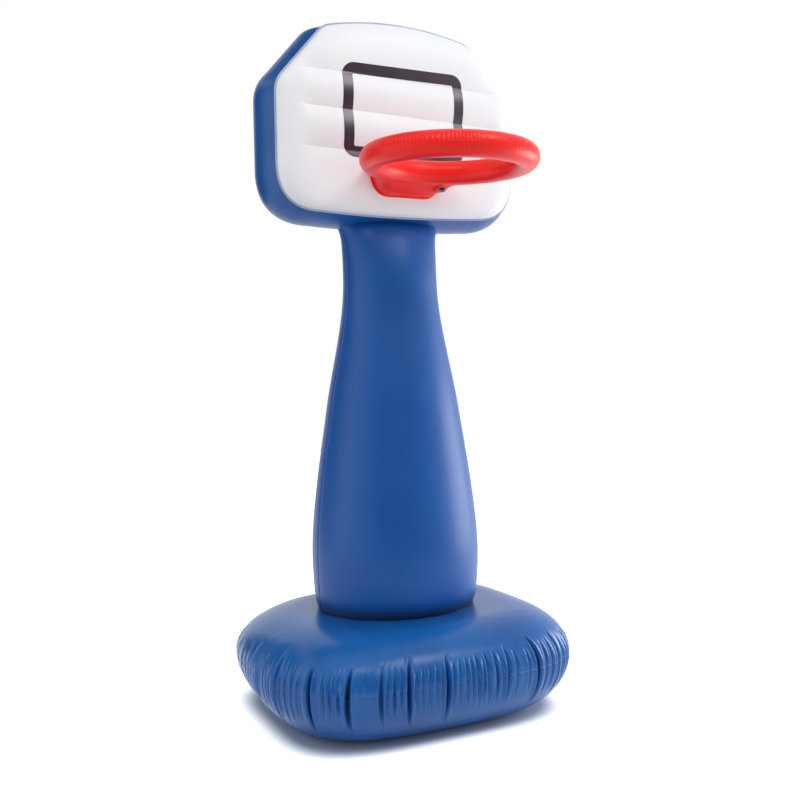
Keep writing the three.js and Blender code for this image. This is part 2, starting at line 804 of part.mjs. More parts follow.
// Tether ring round the boss, under the button, with a tongue over the cap's edge
function fillerRing(size) {
  const capTop = size.rise + size.capGap + size.capWall;
  const bottom = capTop + weldGap;
  const inner = size.bossRadius + size.capGap;
  const outer = inner + size.ringWall;
  const ring = bar(outer, bottom, bottom + size.ringHeight, size.steps);
  const tongue = block(
    new THREE.Vector3(inner + size.ringWall / 2, -size.tetherWidth / 2, bottom),
    new THREE.Vector3(fillerEdge(size), size.tetherWidth / 2, bottom + size.ringHeight),
  );
  const hole = bar(inner, bottom - overrun, bottom + size.ringHeight + overrun, size.steps);
  return toGeometry(ring.add(tongue).subtract(hole));
}

// Radius of the cap over its ribs, with room to turn
const fillerEdge = (size) => size.stemRadius + size.capGap + size.capWall + size.ribDepth + weldGap;

// Strap from the tongue down to the flange, clear of the ribs
function fillerStrap(size) {
  const edge = fillerEdge(size);
  const tongueMiddle = size.rise + size.capGap + size.capWall + weldGap + size.ringHeight / 2;
  const start = new THREE.Vector2(edge + weldGap, tongueMiddle);
  const end = new THREE.Vector2(size.flangeRadius - size.tetherWall, size.flangeWall + weldGap);
  const out = new THREE.Vector2(size.tetherReach, 0);
  const up = new THREE.Vector2(0, size.tetherReach);
  const loop = new THREE.CubicBezierCurve(start, start.clone().add(out), end.clone().add(up), end);
  return toGeometry(strip(loop, size.tetherWall, size.tetherWidth));
}

function addFiller(seat, skin) {
  const group = seatGroup(seat);
  addPiece('base_filler_neck', valveBody(filler, seat, skin), clearVinyl(), group);
  addPiece('base_filler_cap', fillerCap(filler), blueVinyl(), group);
  addPiece('base_filler_tether_ring', fillerRing(filler), blueVinyl(), group);
  addPiece('base_filler_strap', fillerStrap(filler), blueVinyl(), group);
  addPiece('base_filler_flap', flap(filler), clearVinyl(), group);
}

// Where the valves stand
function baseSeat(skin, angle, inset) {
  const place = new THREE.Vector3(
    (baseWidth / 2 - inset) * Math.cos(angle),
    (baseDepth / 2 - inset) * Math.sin(angle) - baseShift,
    reach,
  );
  return seatOn(skin, place, place.clone().setZ(0));
}

function rearSeat(skin, x, height) {
  return seatOn(skin, new THREE.Vector3(x, reach, height), new THREE.Vector3(x, 0, height));
}

function mountSeat(skin) {
  const depth = boardSeamFront - hoopValveReach;
  const below = new THREE.Vector3(hoopValveSide, depth, 0);
  return seatOn(skin, below, below.clone().setZ(ringCentreHeight));
}

// Base
const baseSkins = baseSolid(0).subtract(baseSolid(filmWall));
const baseTop = baseSkins.intersect(halfSpace('z', baseSeamHeight + halfGap, 1));
const baseBottom = baseSkins.intersect(halfSpace('z', baseSeamHeight - halfGap, -1));
const airSeat = baseSeat(baseTop, baseValveAngle, baseValveInset);
const fillerSeat = baseSeat(baseTop, fillerAngle, fillerInset);
const baseHoles = tubeHole(airValve, airSeat).add(tubeHole(filler, fillerSeat));
addPiece('base_bottom_skin', toGeometry(baseBottom), blueVinyl());
addPiece('base_top_skin', toGeometry(baseTop.subtract(baseHoles)), blueVinyl());
addPiece('base_tie_tube', baseTie(), blueVinyl());
addAirValve('base', airSeat, baseSolid(-weldGap));
addFiller(fillerSeat, baseSolid(-weldGap));

// Tie tube that holds the base's top and foot together, with vents that let air and water through
function baseTie() {
  const bottom = filmWall + weldGap;
  const top = baseHeight - bottom;
  const inner = tieRadius - webWall;
  let tube = bar(tieRadius, bottom, top, tieSteps).subtract(
    bar(inner, bottom - overrun, top + overrun, tieSteps),
  );
  for (let i = 0; i < tieVentCount; i++) {
    const vent = bar(tieVentRadius, inner - overrun, tieRadius + overrun, ventSteps);
    const place = new THREE.Matrix4()
      .makeTranslation(0, 0, baseHeight / 2)
      .multiply(new THREE.Matrix4().makeRotationZ((i / tieVentCount) * 2 * Math.PI))
      .multiply(new THREE.Matrix4().makeRotationY(Math.PI / 2));
    tube = tube.subtract(vent.transform(place.elements));
  }
  return toGeometry(tube);
}

// Column
const columnSkins = columnSolid(0)
  .subtract(columnSolid(filmWall, overrun))
  .subtract(bandSolid(weldGap, bandPast));
const columnFront = columnSkins.intersect(halfSpace('y', -halfGap, -1));
const columnRear = columnSkins.intersect(halfSpace('y', halfGap, 1));
const columnSeat = rearSeat(columnRear, 0, columnValveHeight);
const footDisc = loft(
  [footBottom, footBottom + filmWall].map((height) =>
    columnRing(columnFootHalfWidth, columnFootHalfDepth, 0, height),
  ),
);
const headLayer = bandSolid(weldGap + filmWall).subtract(bandSolid(weldGap, overrun));
const headPanel = headLayer
  .intersect(columnSolid(filmWall + weldGap, overrun))
  .intersect(halfSpace('z', boardBottom + boardBottomBow, -1));
addPiece('column_foot_disc', toGeometry(footDisc), blueVinyl());
addPiece('column_front_skin', toGeometry(columnFront), blueVinyl());
addPiece(
  'column_rear_skin',
  toGeometry(columnRear.subtract(tubeHole(airValve, columnSeat))),
  blueVinyl(),
);
addPiece('column_head_panel', toGeometry(headPanel), blueVinyl());
addAirValve('column', columnSeat, columnSolid(-weldGap));

// Backboard
const frontSkin = panelSolid(-1, 0).subtract(panelSolid(-1, -filmWall, overrun));
const rearSkin = panelSolid(1, 0).subtract(panelSolid(1, -filmWall, overrun));
const bandSkin = bandSolid(0).subtract(bandSolid(-filmWall, overrun));
const boardSeat = rearSeat(rearSkin, boardValveSide, boardValveHeight);
addPiece('board_front_skin', toGeometry(frontSkin), whiteVinyl());
addPiece('board_side_band', toGeometry(bandSkin), blueVinyl());
addPiece(
  'board_rear_skin',
  toGeometry(rearSkin.subtract(tubeHole(airValve, boardSeat))),
  blueVinyl(),
);
['lower', 'middle', 'upper'].forEach((name, i) =>
  addPiece(`board_web_${name}`, boardWeb(grooveHeights[i]), blueVinyl()),
);
addPiece('target_print', targetPrint(), blackPrint());
addAirValve('board', boardSeat, panelSolid(1, weldGap, overrun));

// Web across the board's chamber at a groove, with vents
function boardWeb(height) {
  const shrink = -filmWall - weldGap;
  const backing = boardDepth / 2 + overrun;
  const chamber = panelSolid(-1, shrink, backing).add(panelSolid(1, shrink, backing));
  const low = new THREE.Vector3(-grooveHalfLength, -reach, height - webWall / 2);
  const high = new THREE.Vector3(grooveHalfLength, reach, height + webWall / 2);
  let web = block(low, high).intersect(chamber);
  for (let i = 0; i < webVentCount; i++) {
    const share = (i + 0.5) / webVentCount - 0.5;
    const vent = bar(webVentRadius, height - overrun, height + overrun, ventSteps);
    web = web.subtract(vent.translate(2 * grooveHalfLength * share, boardCentre, 0));
  }
  return toGeometry(web);
}

// Target frame: a layer of ink over the front panel between two rounded rectangles
function targetPrint() {
  const shape = slabShape(printHalfWidth, printBottom, printTop, printCorner);
  const inner = printHalfWidth - printBar;
  const corner = Math.max(printCorner - printBar, printWall);
  shape.holes.push(slabShape(inner, printBottom + printBar, printTop - printBar, corner));
  const frame = extrudedBack(shape, boardSeamFront - boardEdgeRoll, boardSeamFront, printCornerSteps);
  const layer = panelSolid(-1, weldGap + printWall).subtract(panelSolid(-1, weldGap, overrun));
  return toGeometry(frame.intersect(layer));
}

// Ring
const ring = new THREE.Group();
ring.position.set(0, ringCentreDepth, ringCentreHeight);
ring.rotation.x = ringDroop;
part.add(ring);
addPiece('hoop_top_skin', openRingSkin(1), redVinyl(), ring);
addPiece('hoop_bottom_skin', openRingSkin(-1), redVinyl(), ring);

// Mount: a padded sleeve from the ring to a flanged panel on the board
const panelLayer = panelSolid(-1, weldGap + filmWall).subtract(panelSolid(-1, weldGap, overrun));
const panelOutline = loft([boardSeamFront, boardSeamFront - boardEdgeRoll].map(flangeSection));
const mountShell = largest(
  mountSolid(0)
    .subtract(mountSolid(filmWall))
    .subtract(ringSolid(weldGap))
    .subtract(panelSolid(-1, weldGap * 2 + filmWall, overrun)),
);
const mountValveSeat = mountSeat(mountShell);
addPiece('hoop_mount_panel', toGeometry(panelOutline.intersect(panelLayer)), redVinyl());
addPiece(
  'hoop_mount_skin',
  toGeometry(mountShell.subtract(tubeHole(airValve, mountValveSeat))),
  redVinyl(),
);
addAirValve('hoop', mountValveSeat, mountSolid(-weldGap));

// Outline of the mount's flange, the same at every depth
function flangeSection(depth) {
  return mountSection(0, -mountFlange).map((point) => point.setY(depth));
}

export default part;
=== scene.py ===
# Poolside basketball hoop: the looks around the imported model, in metres.
# +Z is up, the origin is on the floor on the column's axis, and the board faces -Y.
import json
import math

import bmesh
import bpy
import numpy as np
from mathutils import Matrix, Vector


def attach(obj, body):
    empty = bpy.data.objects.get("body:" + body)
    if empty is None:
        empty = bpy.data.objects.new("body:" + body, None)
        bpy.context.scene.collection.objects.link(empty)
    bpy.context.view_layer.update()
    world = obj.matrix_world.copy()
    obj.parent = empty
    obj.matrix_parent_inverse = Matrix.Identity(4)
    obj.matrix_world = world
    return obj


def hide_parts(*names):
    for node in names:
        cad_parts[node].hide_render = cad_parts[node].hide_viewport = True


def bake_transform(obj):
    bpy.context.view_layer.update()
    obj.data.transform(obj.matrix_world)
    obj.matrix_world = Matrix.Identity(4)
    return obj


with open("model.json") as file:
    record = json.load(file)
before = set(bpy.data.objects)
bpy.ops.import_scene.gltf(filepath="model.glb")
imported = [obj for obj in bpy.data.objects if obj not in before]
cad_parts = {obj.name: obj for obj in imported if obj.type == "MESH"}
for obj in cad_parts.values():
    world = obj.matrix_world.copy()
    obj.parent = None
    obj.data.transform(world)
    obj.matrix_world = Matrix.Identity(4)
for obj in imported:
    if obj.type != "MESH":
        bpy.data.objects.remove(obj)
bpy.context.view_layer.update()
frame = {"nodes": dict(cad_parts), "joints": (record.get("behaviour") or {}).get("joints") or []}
print("frame loaded:", len(frame["nodes"]), "nodes")


# Shared sums on whole arrays
def smoothStep(low, high, value):
    # 0 below low, 1 above high, and 3s^2 - 2s^3 of the share s between them
    share = np.clip((value - low) / (high - low), 0, 1)
    return share * share * (3 - 2 * share)


def bell(value, width):
    # exp(-(value / width)^2)
    return np.exp(-((value / width) ** 2))


def unevenSteps(start, stop, count, centres, width, gain):
    # count + 1 values from start to stop, closer together round each centre: the running total of
    # 1 + gain * sum of bells, read backwards at even totals
    fine = np.linspace(start, stop, count * 12)
    density = 1 + gain * bell(fine[:, None] - np.asarray(centres), width).sum(1)
    total = np.concatenate([[0], np.cumsum((density[1:] + density[:-1]) / 2 * np.diff(fine))])
    return np.interp(np.linspace(0, total[-1], count + 1), total, fine)


def cubicThrough(knots, values, at):
    # natural cubic spline: a cubic between each two knots, with slope and bend equal where they meet
    gap, last = np.diff(knots), len(knots) - 1
    matrix, inner = np.eye(last + 1), np.arange(1, last)
    matrix[inner, inner - 1], matrix[inner, inner + 1] = gap[:-1], gap[1:]
    matrix[inner, inner] = 2 * (gap[:-1] + gap[1:])
    curve = np.linalg.solve(matrix, np.concatenate([[0], 6 * np.diff(np.diff(values) / gap), [0]]))
    i = np.clip(np.searchsorted(knots, at) - 1, 0, last - 1)
    return sum(
        curve[j] * far**3 / (6 * gap[i]) + (values[j] / gap[i] - curve[j] * gap[i] / 6) * far
        for j, far in ((i, knots[i + 1] - at), (i + 1, at - knots[i]))
    )


def fullTurn(count):
    return np.linspace(0, 2 * math.pi, count, endpoint=False)


def evenShares(count, endpoint=True):
    # a column of even steps from 0 to 1
    return np.linspace(0, 1, count, endpoint=endpoint)[:, None]


def easedSteps(count):
    # (1 - cos) / 2 of even steps over half a turn: 0 to 1, closer together at both ends
    return (1 - np.cos(np.linspace(0, math.pi, count))) / 2


def stacked(*parts):
    # places or pairs from their separate coordinates
    return np.stack(np.broadcast_arrays(*parts), -1)


def bezier(corners, share):
    # Bezier curve over its corners: the sum of C(n, i) * (1 - s)^(n - i) * s^i * corner i
    n = len(corners) - 1
    return sum(
        math.comb(n, i) * (1 - share) ** (n - i) * share**i * np.asarray(corner, float)
        for i, corner in enumerate(corners)
    )


def runningLength(places):
    return np.concatenate([[0], np.cumsum(np.linalg.norm(np.diff(places, axis=0), axis=1))])


def unit(vectors):
    return vectors / np.maximum(np.linalg.norm(vectors, axis=-1, keepdims=True), 1e-12)


def outwardNormals(points, inside):
    # cross product of the two directions of a grid whose last column lies beside its first, turned so
    # that they point away from a place inside
    padded = np.concatenate([points[:, -1:], points, points[:, :1]], 1)
    normals = unit(np.cross(np.gradient(padded, axis=1), np.gradient(padded, axis=0)))[:, 1:-1]
    return normals * np.sign(np.sum(normals * (points - inside), -1).mean())


# Meshes from grids
holeReach = 0.01  # how far over and under its seat a hole cuts a film
filmWall = 0.0006
bendAngle = math.radians(40)  # from where on a moulded part's edge looks sharp


def surfaceMesh(name, points, uv, inside, wrap=False, poles=False, valves=(), holes=(), fold=None):
    # quads between the rows and columns of a grid of places, facing away from what lies inside; the grid
    # is drawn onto its valves' seats first; holes are (seat, radius) pairs, and a quad goes where all its
    # corners lie within the radius of the seat's axis
    points, holes = fitted(points, valves, list(holes))
    rows, columns = points.shape[:2]
    number = np.arange(rows * columns).reshape(rows, columns)
    if wrap:
        number = np.hstack([number, number[:, :1]])
    first, second = slice(None, -1), slice(1, None)
    corners = (first, first), (first, second), (second, second), (second, first)
    quads = np.stack([number[corner] for corner in corners], -1).reshape(-1, 4)
    quadUv = np.stack([uv[corner] for corner in corners], 2).reshape(-1, 4, 2).astype(np.float32)
    flat, inside = (np.broadcast_to(places, points.shape).reshape(-1, 3) for places in (points, inside))
    for seat, radius in holes:
        local = toSeat(seat, flat)
        within = (np.hypot(local[:, 0], local[:, 1]) < radius) & (np.abs(local[:, 2]) < holeReach)
        keep = ~within[quads].all(1)
        quads, quadUv = quads[keep], quadUv[keep]
    a, b, c, d = (flat[quads[:, i]] for i in range(4))
    if np.sum(np.cross(c - a, d - b) * ((a + c) / 2 - inside[quads[:, 0]])) < 0:
        quads, quadUv = quads[:, ::-1], quadUv[:, ::-1]
    mesh = bpy.data.meshes.new(name)
    mesh.vertices.add(len(flat))
    mesh.vertices.foreach_set("co", flat.ravel())
    mesh.loops.add(quads.size)
    mesh.loops.foreach_set("vertex_index", quads.ravel())
    mesh.polygons.add(len(quads))
    mesh.polygons.foreach_set("loop_start", np.arange(0, quads.size, 4))
    mesh.uv_layers.new(name="film").uv.foreach_set("vector", quadUv.ravel())
    mesh.update(calc_edges=True)
    if fold is not None:  # how deep each place lies in a crease, from 0 to 1, for the painted shade in the finish
        values = mesh.attributes.new("fold", "FLOAT", "POINT").data
        values.foreach_set("value", fold.astype(np.float32).ravel())
    if poles or holes:
        work = bmesh.new()
        work.from_mesh(mesh)
        bmesh.ops.remove_doubles(work, verts=work.verts, dist=1e-7)
        bmesh.ops.delete(work, geom=[v for v in work.verts if not v.link_faces], context="VERTS")
        work.to_mesh(mesh)
        work.free()
    mesh.shade_smooth()
    return mesh


def markRims(mesh):
    # an edge that only one face uses stays sharp, so a film's cut edge doesn't bend its shading
    edges = np.zeros(len(mesh.loops), np.int32)
    mesh.loops.foreach_get("edge_index", edges)
    use = np.bincount(edges, minlength=len(mesh.edges))
    sharp = mesh.attributes.get("sharp_edge") or mesh.attributes.new("sharp_edge", "BOOLEAN", "EDGE")
    sharp.data.foreach_set("value", use == 1)


def placed(name, data):
    item = bpy.data.objects.new(name, data)
    bpy.context.scene.collection.objects.link(item)
    return item


def addPiece(mesh, material, body, node=None, wall=0.0, between=()):
    # one object at the origin that stands for a CAD node and rides on a body; given places to bend
    # between, it is only baked where it stands and rides on no body
    piece = placed(mesh.name, mesh)
    mesh.materials.append(material)
    if wall:
        markRims(mesh)
        solidify = piece.modifiers.new("wall", "SOLIDIFY")
        solidify.thickness, solidify.offset = wall, -1
    if between:
        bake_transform(piece)
    else:
        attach(piece, body)
    if node:
        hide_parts(node)


def addFilm(mesh, material, node=None, wall=filmWall):
    addPiece(mesh, material, "stand", node, wall)


def gridUv(across, down):
    return stacked(across[None, :], down[:, None])


# Valves' sizes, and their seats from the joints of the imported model
joints = {joint["name"]: joint for joint in frame["joints"]}
airNames = ("base", "column", "board", "hoop")
airValve = {
    "flangeRadius": 0.011, "flangeWall": 0.0009, "stemRadius": 0.0056, "boreRadius": 0.0039,
    "rise": 0.005, "drop": 0.008, "plugLength": 0.005, "plugGap": 0.0003, "headRadius": 0.0068,
    "headWall": 0.0016, "collarWall": 0.0011, "collarHeight": 0.0012, "tetherWall": 0.0008,
    "tetherWidth": 0.0034, "tetherReach": 0.006, "tabLength": 0.004, "tabWidth": 0.004,
    "flapRadius": 0.0052, "flapWall": 0.0007, "flapGap": 0.0003, "steps": 64,
}
# a neck with a flange, a ribbed screw cap, a tether ring with its strap, and a flap
filler = {
    "flangeRadius": 0.027, "flangeWall": 0.0014, "stemRadius": 0.016, "boreRadius": 0.013,
    "rise": 0.013, "drop": 0.009, "capGap": 0.0004, "capWall": 0.0022, "skirtDrop": 0.009,
    "ribDepth": 0.0012, "ribs": 30, "ribbedFrom": 0.0182, "bossRadius": 0.006, "bossHeight": 0.0034,
    "buttonRadius": 0.008, "buttonHeight": 0.0014, "ringWall": 0.003, "ringHeight": 0.0015,
    "strapWall": 0.0012, "strapWidth": 0.007, "strapReach": 0.012, "flapRadius": 0.014,
    "flapWall": 0.0011, "flapGap": 0.0003, "groove": 0.0006, "groovePitch": 0.003, "steps": 180,
}
# radii of the film round each valve: flat inside the first, as it was beyond the second, cut at the third
seatFits = {
    "base": (0.013, 0.030, 0.0095), "column": (0.013, 0.032, 0.0098), "board": (0.013, 0.030, 0.0098),
    "hoop": (0.013, 0.028, 0.0095), "filler": (0.029, 0.055, 0.020),
}
seatSink = 0.0003  # how far the flat film lies under its valve's flange


def seatMatrix(name, pull, sizes):
    # z stands out of the film, y runs against the flap's hinge, and the flap hangs under the tube
    flap = joints[name + "_flap_swing"]
    z = Vector(joints[name + pull]["axis"]).normalized()
    y = -Vector(flap["axis"]).normalized()
    x = y.cross(z)
    origin = Vector(flap["pos_m"]) - sizes["flapRadius"] * x + (sizes["drop"] + sizes["flapGap"]) * z
    return Matrix.Translation(origin) @ Matrix((x, y, z)).transposed().to_4x4()


seats = {name: seatMatrix(name, "_stopper_pull", airValve) for name in airNames}
seats["filler"] = seatMatrix("filler", "_lift", filler)


def toSeat(seat, points):
    turned = np.array(seat.inverted())
    return points @ turned[:3, :3].T + turned[:3, 3]


def fitted(points, names, holes):
    # draws a film onto its valves' seats and adds the holes to cut for them
    for name in names:
        inner, outer, hole = seatFits[name]
        holes.append((seats[name], hole))
        local = toSeat(seats[name], points)
        share = 1 - smoothStep(inner, outer, np.hypot(local[..., 0], local[..., 1]))
        share = share * (np.abs(local[..., 2]) < outer) * (local[..., 2] + seatSink)
        points = points - share[..., None] * np.array(seats[name].col[2][:3])
    return points, holes


print("valve seats placed:", len(seats))


# Materials
def linear(red, green, blue):
    # a colour as a picture shows it, 0 to 255, as the light values that a shader takes
    share = np.array([red, green, blue]) / 255
    low, high = share / 12.92, ((share + 0.055) / 1.055) ** 2.4
    return (*np.where(share <= 0.04045, low, high).tolist(), 1.0)


class Signal:
    # a node's output that can stand in sums; each operator adds a Math node
    def __init__(self, tree, socket):
        self.tree, self.socket = tree, socket

    def math(self, operation, *values):
        return self.tree.add("ShaderNodeMath", {"operation": operation}, dict(enumerate(values)))

    def size(self):
        return self.math("ABSOLUTE", self)

    def sine(self):
        return self.math("SINE", self)

    def between(self, low, high):
        # smooth share from 0 at low to 1 at high
        inputs = {"Value": self, "From Min": low, "From Max": high}
        return self.tree.add("ShaderNodeMapRange", {"interpolation_type": "SMOOTHSTEP"}, inputs)


# + - * and ** with a signal on the left, and the reflected forms with it on the right
for sign, operation in (("add", "ADD"), ("sub", "SUBTRACT"), ("mul", "MULTIPLY"), ("pow", "POWER")):
    setattr(Signal, f"__{sign}__", lambda a, b, work=operation: a.math(work, a, b))
    setattr(Signal, f"__r{sign}__", lambda a, b, work=operation: a.math(work, b, a))


class Tree:
    # the nodes of a material or a world, with one method that adds any node
    def __init__(self, owner):
        owner.use_nodes = True
        self.nodes, self.links = owner.node_tree.nodes, owner.node_tree.links

    def add(self, kind, settings=None, inputs=None, output=0):
        node = self.nodes.new(kind)
        for key, value in (settings or {}).items():
            setattr(node, key, value)
        for key, value in (inputs or {}).items():
            if isinstance(value, Signal):
                self.links.new(value.socket, node.inputs[key])
            else:
                node.inputs[key].default_value = value
        return Signal(self, node.outputs[output])


class Finish(Tree):
    # a material round one Principled shader
    def __init__(self, name, roughness, specular):
        self.material = bpy.data.materials.new(name)
        super().__init__(self.material)
        self.shader = self.nodes["Principled BSDF"]
        self.shader.inputs["Roughness"].default_value = roughness
        self.shader.inputs["Specular IOR Level"].default_value = specular

    def place(self, output="Object"):
        return self.add("ShaderNodeTexCoord", output=output)

    def noise(self, scale, detail=2.0, roughness=0.5):
        inputs = {"Scale": scale, "Detail": detail, "Roughness": roughness, "Vector": self.place()}
        return self.add("ShaderNodeTexNoise", None, inputs)

    def split(self, vector):
        node = self.add("ShaderNodeSeparateXYZ", None, {0: vector}).socket.node
        return [Signal(self, socket) for socket in node.outputs]

    def mix(self, factor, first, second):
        # colours as pictures show them are mixed as light
        first, second = (linear(*c) if isinstance(c, tuple) else c for c in (first, second))
        return self.add("ShaderNodeMix", {"data_type": "RGBA"}, {0: factor, 6: first, 7: second}, 2)

    def finished(self, colour, roughness, height):
        bump = self.add("ShaderNodeBump", None, {"Height": height, "Strength": 1.0, "Distance": 1.0})
        for name, value in (("Base Color", colour), ("Roughness", roughness), ("Normal", bump)):
            self.links.new(value.socket, self.shader.inputs[name])
        return self.material


def vinylFinish(name, look, welded=True):
    # air-filled film: a colour with broad cloudy variation, a fine grain, soft ripples in the gloss,
    # and along a weld the pressed strip of the heat seal, which the film's UV map counts from
    finish = Finish(name, look["roughness"], look["specular"])
    cloud = finish.noise(look["cloudScale"], 3.0)
    colour = finish.mix(cloud.between(*look["cloudRange"]), look["deep"], look["pale"])
    speck = finish.noise(look["speckScale"], 1.0).between(*look["speckRange"])
    colour = finish.mix(speck * look["speckShare"], colour, look["speck"])
    grain = finish.noise(look["grainScale"], 2.0, 0.6)
    ripple = finish.noise(look["rippleScale"], 1.5)
    rough = look["roughness"] + (cloud - 0.5) * look["roughSpread"] + (grain - 0.5) * look["grainRough"]
    height = grain * look["grainHeight"] + ripple * look["rippleHeight"]
    if welded:
        along, across, _ = finish.split(finish.place("UV"))  # way along the weld, distance from it
        strip = 1 - across.size().between(look["weldWidth"] * 0.8, look["weldWidth"])
        press = (along * look["weldPitch"]).sine() * (across * look["weldPitch"]).sine()
        height = height + strip * (press * 0.5 - 1) * look["weldHeight"]
        line = 1 - across.size().between(look["lineWidth"] * 0.5, look["lineWidth"])
        if look["lineFrom"]:  # the line shows more towards +X
            side = finish.split(finish.place())[0].between(*look["lineFrom"])
            line = line * (look["lineLeast"] + side * (1 - look["lineLeast"]))
        colour = finish.mix(line * look["lineShare"], colour, look["line"])
        rough = rough - strip * look["stripGloss"]
    # painted shade: the deepest parts of the base's creases are mixed towards near black
    if look["foldShare"]:
        fold = finish.add("ShaderNodeAttribute", {"attribute_name": "fold"}, output="Fac")
        colour = finish.mix(fold * look["foldShare"], colour, look["fold"])
    if look["footShare"]:  # painted shade: darker and greyer where the column's foot goes into the cleft over the base
        foot = 1 - finish.split(finish.place())[2].between(*look["footShadeFrom"])
        colour = finish.mix(foot * look["footShare"], colour, look["foot"])
    return finish.finished(colour, rough, height)


def filmLook(deep, pale, line, **changes):
    look = {
        "deep": deep, "pale": pale, "line": line, "speck": pale,
        "roughness": 0.34, "specular": 0.33, "roughSpread": 0.05,
        "cloudScale": 5.0, "cloudRange": (0.3, 0.7),
        "speckScale": 420.0, "speckRange": (0.68, 0.8), "speckShare": 0.12,
        "grainScale": 1500.0, "grainHeight": 0.00003, "grainRough": 0.06,
        "rippleScale": 22.0, "rippleHeight": 0.0009,
        "weldWidth": 0.004, "weldHeight": 0.00012, "weldPitch": 3600.0, "stripGloss": 0.06,
        "lineWidth": 0.0009, "lineShare": 0.5, "lineFrom": None, "lineLeast": 0.08,
        # painted shade in the base's creases: its share and its colour
        "foldShare": 0.0, "fold": (8, 20, 52),
        # painted shade at the column's foot: its share, the heights over which it fades, and its colour
        "footShare": 0.0, "footShadeFrom": (0.302, 0.352), "foot": (36, 54, 84),
    }
    return {**look, **changes}


blueLook = filmLook((13, 78, 148), (21, 88, 160), (130, 158, 208))
baseLook = filmLook(
    (15, 84, 156), (24, 98, 172), (150, 172, 214),
    roughness=0.26, lineFrom=(-0.05, 0.30), foldShare=0.85,
)
columnLook = filmLook(
    (9, 78, 154), (13, 84, 161), (12, 38, 92),
    lineShare=0.75, roughness=0.41, rippleHeight=0.0005, footShare=0.9,
)
whiteLook = filmLook(
    (236, 239, 243), (240, 242, 245), (206, 210, 222), roughness=0.42, rippleHeight=0.0006
)
redLook = filmLook(
    (245, 30, 20), (250, 38, 28), (214, 26, 20), roughness=0.33, specular=0.27, rippleHeight=0.0005
)
baseFinish = vinylFinish("blueBaseFilm", baseLook)
columnFinish = vinylFinish("blueColumnFilm", columnLook)
bandFinish = vinylFinish("blueBandFilm", blueLook)
whiteFinish = vinylFinish("whiteFrontFilm", whiteLook)
blueRearFinish = vinylFinish("blueRearFilm", blueLook)
ringFinish = vinylFinish("redRingFilm", redLook)
mountFinish = vinylFinish("redMountFilm", redLook)
innerFinish = vinylFinish("blueInnerFilm", blueLook, False)
# the welds' own narrow strips: rear, front and foot; the foot's real weld strip is coloured near black as
# painted shade of the cleft round the column's foot
weldFinish, lipFinish, footWeldShadeFinish = (
    vinylFinish(name, filmLook(deep, pale, deep, rippleHeight=0.0), False)
    for name, deep, pale in (
        ("blueWeldFilm", (64, 84, 148), (92, 110, 176)),
        ("paleWeldFilm", (158, 164, 196), (184, 188, 214)),
        ("footWeldShadeFilm", (14, 30, 62), (22, 40, 76)),
    )
)
print("film finishes made")


def inkFinish():
    # printed ink: black with a warm cast where it is thin, a fine print grain, glossier than the film
    finish = Finish("targetInk", 0.26, 0.8)
    colour = finish.mix(finish.noise(60.0, 3.0).between(0.3, 0.7), (44, 24, 46), (50, 31, 52))
    grain = finish.noise(2200.0, 1.0)
    height = grain * 0.00002 + finish.noise(22.0, 1.5) * 0.0006
    return finish.finished(colour, 0.26 + grain * 0.08, height)


def valveFinish():
    # soft moulded vinyl: dark navy, paler where it is scuffed on its edges
    finish = Finish("valveVinyl", 0.24, 0.5)
    cloud = finish.noise(300.0, 2.0)
    colour = finish.mix(cloud.between(0.35, 0.7), (30, 34, 84), (44, 50, 112))
    scuff = finish.noise(1400.0, 3.0).between(0.62, 0.72)
    colour = finish.mix(scuff * 0.25, colour, (96, 104, 160))
    return finish.finished(colour, 0.2 + cloud * 0.12, finish.noise(900.0, 2.0) * 0.00006)


def capFinish():
    # harder moulded plastic with a fine spark-eroded grain
    finish = Finish("capPlastic", 0.36, 0.45)
    colour = finish.mix(finish.noise(120.0, 2.0).between(0.3, 0.7), (20, 58, 128), (28, 70, 146))
    grain = finish.noise(3200.0, 1.0)
    return finish.finished(colour, 0.3 + grain * 0.14, grain * 0.00002)


inkMaterial = inkFinish()
valveMaterial = valveFinish()
capMaterial = capFinish()
print("ink, valve and cap finishes made")


# Base: two films that are welded at the widest line
base = {
    "halfWidth": 0.482, "halfDepth": 0.418, "height": 0.299, "seamHeight": 0.168, "shift": 0.024,
    "rimReach": 0.174, "squareness": 3.27, "rimFullness": 0.9,
    "softCorner": 0.45, "softAngle": 2.6, "softWidth": 0.35, "seamSag": 0.008, "sagAngle": 3.35,
    "sagWidth": 0.55, "columns": 1000, "rimRows": 38, "packFrom": 3.6, "packWidth": 0.02, "packGain": 3.2,
    "flatShares": (0.97, 0.94, 0.91, 0.88, 0.85, 0.82, 0.79, 0.75, 0.6, 0.3, 0.0), "flatStep": 0.03,
    "creaseGain": 1.35, "swell": 0.32, "ripple": 0.0019, "rippleReach": 0.085, "rippleWaves": 26,
    "creaseShadeFrom": 0.0035, "creaseShadeSpan": 0.009, "seamNotch": 0.0011, "seamNotchWidth": 0.0022, "seed": 7,
    # round the back: from and to, the corners with their widths in degrees, depths in mm and their chances
    "backFrom": 329.0, "backTo": 524.0, "backCorners": ((42, 20), (138, 20), (328, 14)),
    "backDepths": (2.0, 3.5, 6.0, 10.0), "backChances": (0.34, 0.32, 0.22, 0.12),
}
